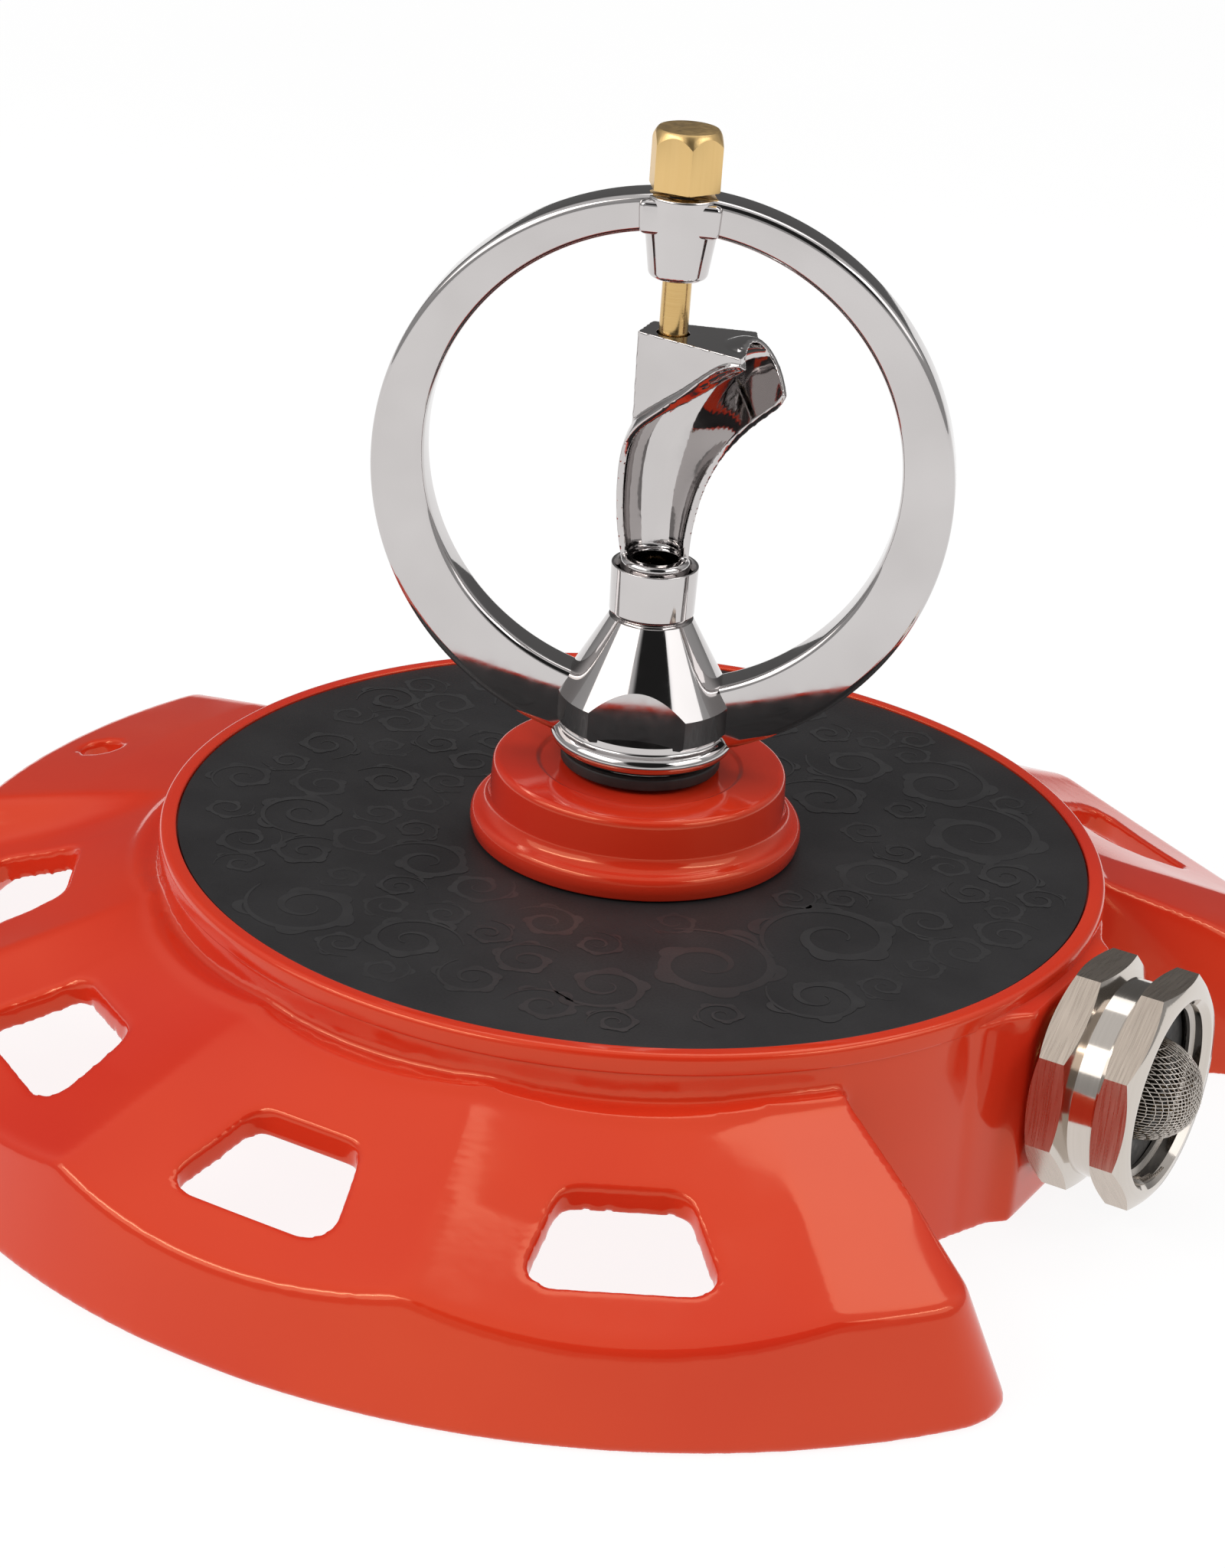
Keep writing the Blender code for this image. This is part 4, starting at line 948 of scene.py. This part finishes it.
def knob():
    """Stem with its clip groove, and the six-sided knob pressed on its end."""
    groove_low, groove_high = 120.9 * MM, 121.9 * MM
    stem = lathe("stem", filleted([
        (0.0, STEM_FOOT_Z, 0), (STEM_RADIUS, STEM_FOOT_Z, 0.4 * MM), (STEM_RADIUS, groove_low, 0),
        (CLIP_GROOVE_RADIUS, groove_low, 0), (CLIP_GROOVE_RADIUS, groove_high, 0),
        (STEM_RADIUS, groove_high, 0), (STEM_RADIUS, STEM_TOP_Z, 0.3 * MM), (0.0, STEM_TOP_Z, 0),
    ], 3), 64, BRASS, HEAD_PLACE)
    show(stem, "knob", "brass", "adjusting_stem")

    low, high = KNOB_FOOT_Z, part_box("adjusting_knob")[1].z
    corner = KNOB_CORNER
    flat = corner * math.cos(math.pi / 6)
    piece = rod("hex_knob", corner, low - MM, high + MM, 6, KNOB_BRASS, HEAD_PLACE, KNOB_YAW)
    turned = lathe("knob_tool", [
        (0.0, low), (corner - 0.1 * MM, low), (corner + 0.2 * MM, low + 0.3 * MM),
        (corner + 0.1 * MM, high - 2.1 * MM), (flat - 0.15 * MM, high - 0.3 * MM),
        (flat - 0.4 * MM, high), (0.0, high),
    ], 96, KNOB_BRASS, HEAD_PLACE)
    combine(piece, [turned], 'INTERSECT')
    hole = rod("knob_hole_tool", STEM_BORE, 130 * MM, 137.7 * MM, 48, KNOB_BRASS, HEAD_PLACE)
    combine(piece, [hole], 'DIFFERENCE')
    break_edges(piece, 0.22 * MM, 3)
    show(piece, "knob", "brass", "adjusting_knob")


# ---------------------------------------------------------------- carried-over pieces
CARRIED = {
    "riser_body": BRASS, "feed_pipe": BRASS, "inlet_tailpiece": BRASS, "spindle": BRASS,
    "nozzle": BRASS, "inner_pipe_seal": RUBBER, "outer_pipe_seal": RUBBER,
    "spindle_seal": RUBBER, "stem_seal": RUBBER, "bearing_bush": ACETAL, "wear_washer": ACETAL,
    "slip_washer": ACETAL, "spindle_clip": STEEL, "stem_clip": STEEL, "riser_screw_1": STEEL,
    "riser_screw_2": STEEL, "riser_screw_3": STEEL,
}


def dress_carried():
    """Give the CAD nodes that stay visible their better materials."""
    for name, surface in CARRIED.items():
        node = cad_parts[name]
        node.data.materials.clear()
        node.data.materials.append(surface)


# ---------------------------------------------------------------- studio
def studio():
    """Pale floor, the softboxes and the surroundings."""
    bm = bmesh.new()
    half = 6.0
    corners = [(-half, -half), (half, -half), (half, half), (-half, half)]
    bm.faces.new([bm.verts.new((x, y, 0.0)) for x, y in corners])
    paint = Surface("studio floor", 0.0, 0.9, specular=0.1)
    paint.tone(paint.noise(3), (0.11, 0.11, 0.11), (0.13, 0.13, 0.13))
    paint.shader.inputs["Emission Color"].default_value = (1, 1, 1, 1)
    paint.shader.inputs["Emission Strength"].default_value = 0.90
    floor = add_object("floor", bm, paint.material, Matrix.Identity(4))
    surroundings()

    def softbox(name, place, size, radiance, tint=(1, 1, 1)):
        """Rectangular lamp of even radiance, aimed at the object's middle."""
        lamp = bpy.data.lights.new(name, 'AREA')
        lamp.shape = 'RECTANGLE'
        lamp.size, lamp.size_y = size
        lamp.energy = radiance * math.pi * size[0] * size[1]
        lamp.color = tint
        holder = bpy.data.objects.new(name, lamp)
        holder.location = place
        holder.rotation_euler = (middle - Vector(place)).to_track_quat('-Z', 'Y').to_euler()
        bpy.context.scene.collection.objects.link(holder)

    middle = Vector((AXIS_X, 0, 0.06))
    softbox("key_left", (-0.46, -0.76, 0.72), (1.05, 0.60), 1.7, (1.0, 0.97, 0.94))
    softbox("strip_left", (-0.40, -0.70, 0.86), (0.80, 0.09), 9.0, (1.0, 0.96, 0.91))
    softbox("fill_right", (1.00, 0.06, 0.74), (0.80, 0.60), 1.2)
    softbox("strip_right", (0.86, 0.02, 0.86), (0.60, 0.08), 6.0)
    softbox("top_back", (0.0, 0.45, 1.05), (0.90, 0.45), 1.6)


def surroundings():
    """White to the camera; dimmer and uneven for light and reflections, as a studio is."""
    world = bpy.data.worlds.new("studio")
    bpy.context.scene.world = world
    world.use_nodes = True
    nodes, links = world.node_tree.nodes, world.node_tree.links
    shine = nodes["Background"]
    direction = nodes.new("ShaderNodeTexCoord").outputs["Generated"]
    level = None
    for toward, narrow, wide, value in (
        ((0.0, 0.0, 1.0), 0.95, 0.10, 0.75),        # pale ceiling over mid-grey walls
        ((-0.45, 0.83, 0.25), 0.90, 0.55, 0.12),    # dark room behind the object
        ((0.53, -0.61, 0.59), 0.92, 0.86, 0.02),    # dark gap between the softboxes
    ):
        dot = nodes.new("ShaderNodeVectorMath")
        dot.operation = 'DOT_PRODUCT'
        dot.inputs[1].default_value = Vector(toward).normalized()
        links.new(direction, dot.inputs[0])
        share = nodes.new("ShaderNodeMapRange")
        share.interpolation_type = 'SMOOTHSTEP'
        share.inputs["From Min"].default_value = wide
        share.inputs["From Max"].default_value = narrow
        links.new(dot.outputs["Value"], share.inputs["Value"])
        mix = nodes.new("ShaderNodeMix")
        mix.inputs["A"].default_value = 0.38
        mix.inputs["B"].default_value = value
        if level is not None:
            links.new(level, mix.inputs["A"])
        links.new(share.outputs["Result"], mix.inputs["Factor"])
        level = mix.outputs["Result"]
    seen = nodes.new("ShaderNodeLightPath").outputs["Is Camera Ray"]
    backdrop = nodes.new("ShaderNodeMix")
    backdrop.inputs["B"].default_value = 1.0
    links.new(seen, backdrop.inputs["Factor"])
    links.new(level, backdrop.inputs["A"])
    links.new(backdrop.outputs["Result"], shine.inputs["Strength"])
    shine.inputs["Color"].default_value = (1, 1, 1, 1)


def camera():
    """Three-quarter view from above, as in the reference picture."""
    data = bpy.data.cameras.new("camera")
    data.lens = 83.107
    data.sensor_width = 36.0
    data.shift_x = -0.01364
    data.shift_y = 0.03032
    data.clip_start = 0.01
    holder = bpy.data.objects.new("camera", data)
    holder.location = (0.2393, -0.4283, 0.2598)
    holder.rotation_euler = [math.radians(a) for a in (65.132, -4.049, 30.175)]
    bpy.context.scene.collection.objects.link(holder)
    bpy.context.scene.camera = holder
    bpy.context.scene.view_settings.view_transform = 'Standard'


camera()
studio()
base_casting()
label_disc()
label_scroll()
bearing()
inlet_nut()
hose_thread()
strainer()
head()
scoop()
knob()
dress_carried()
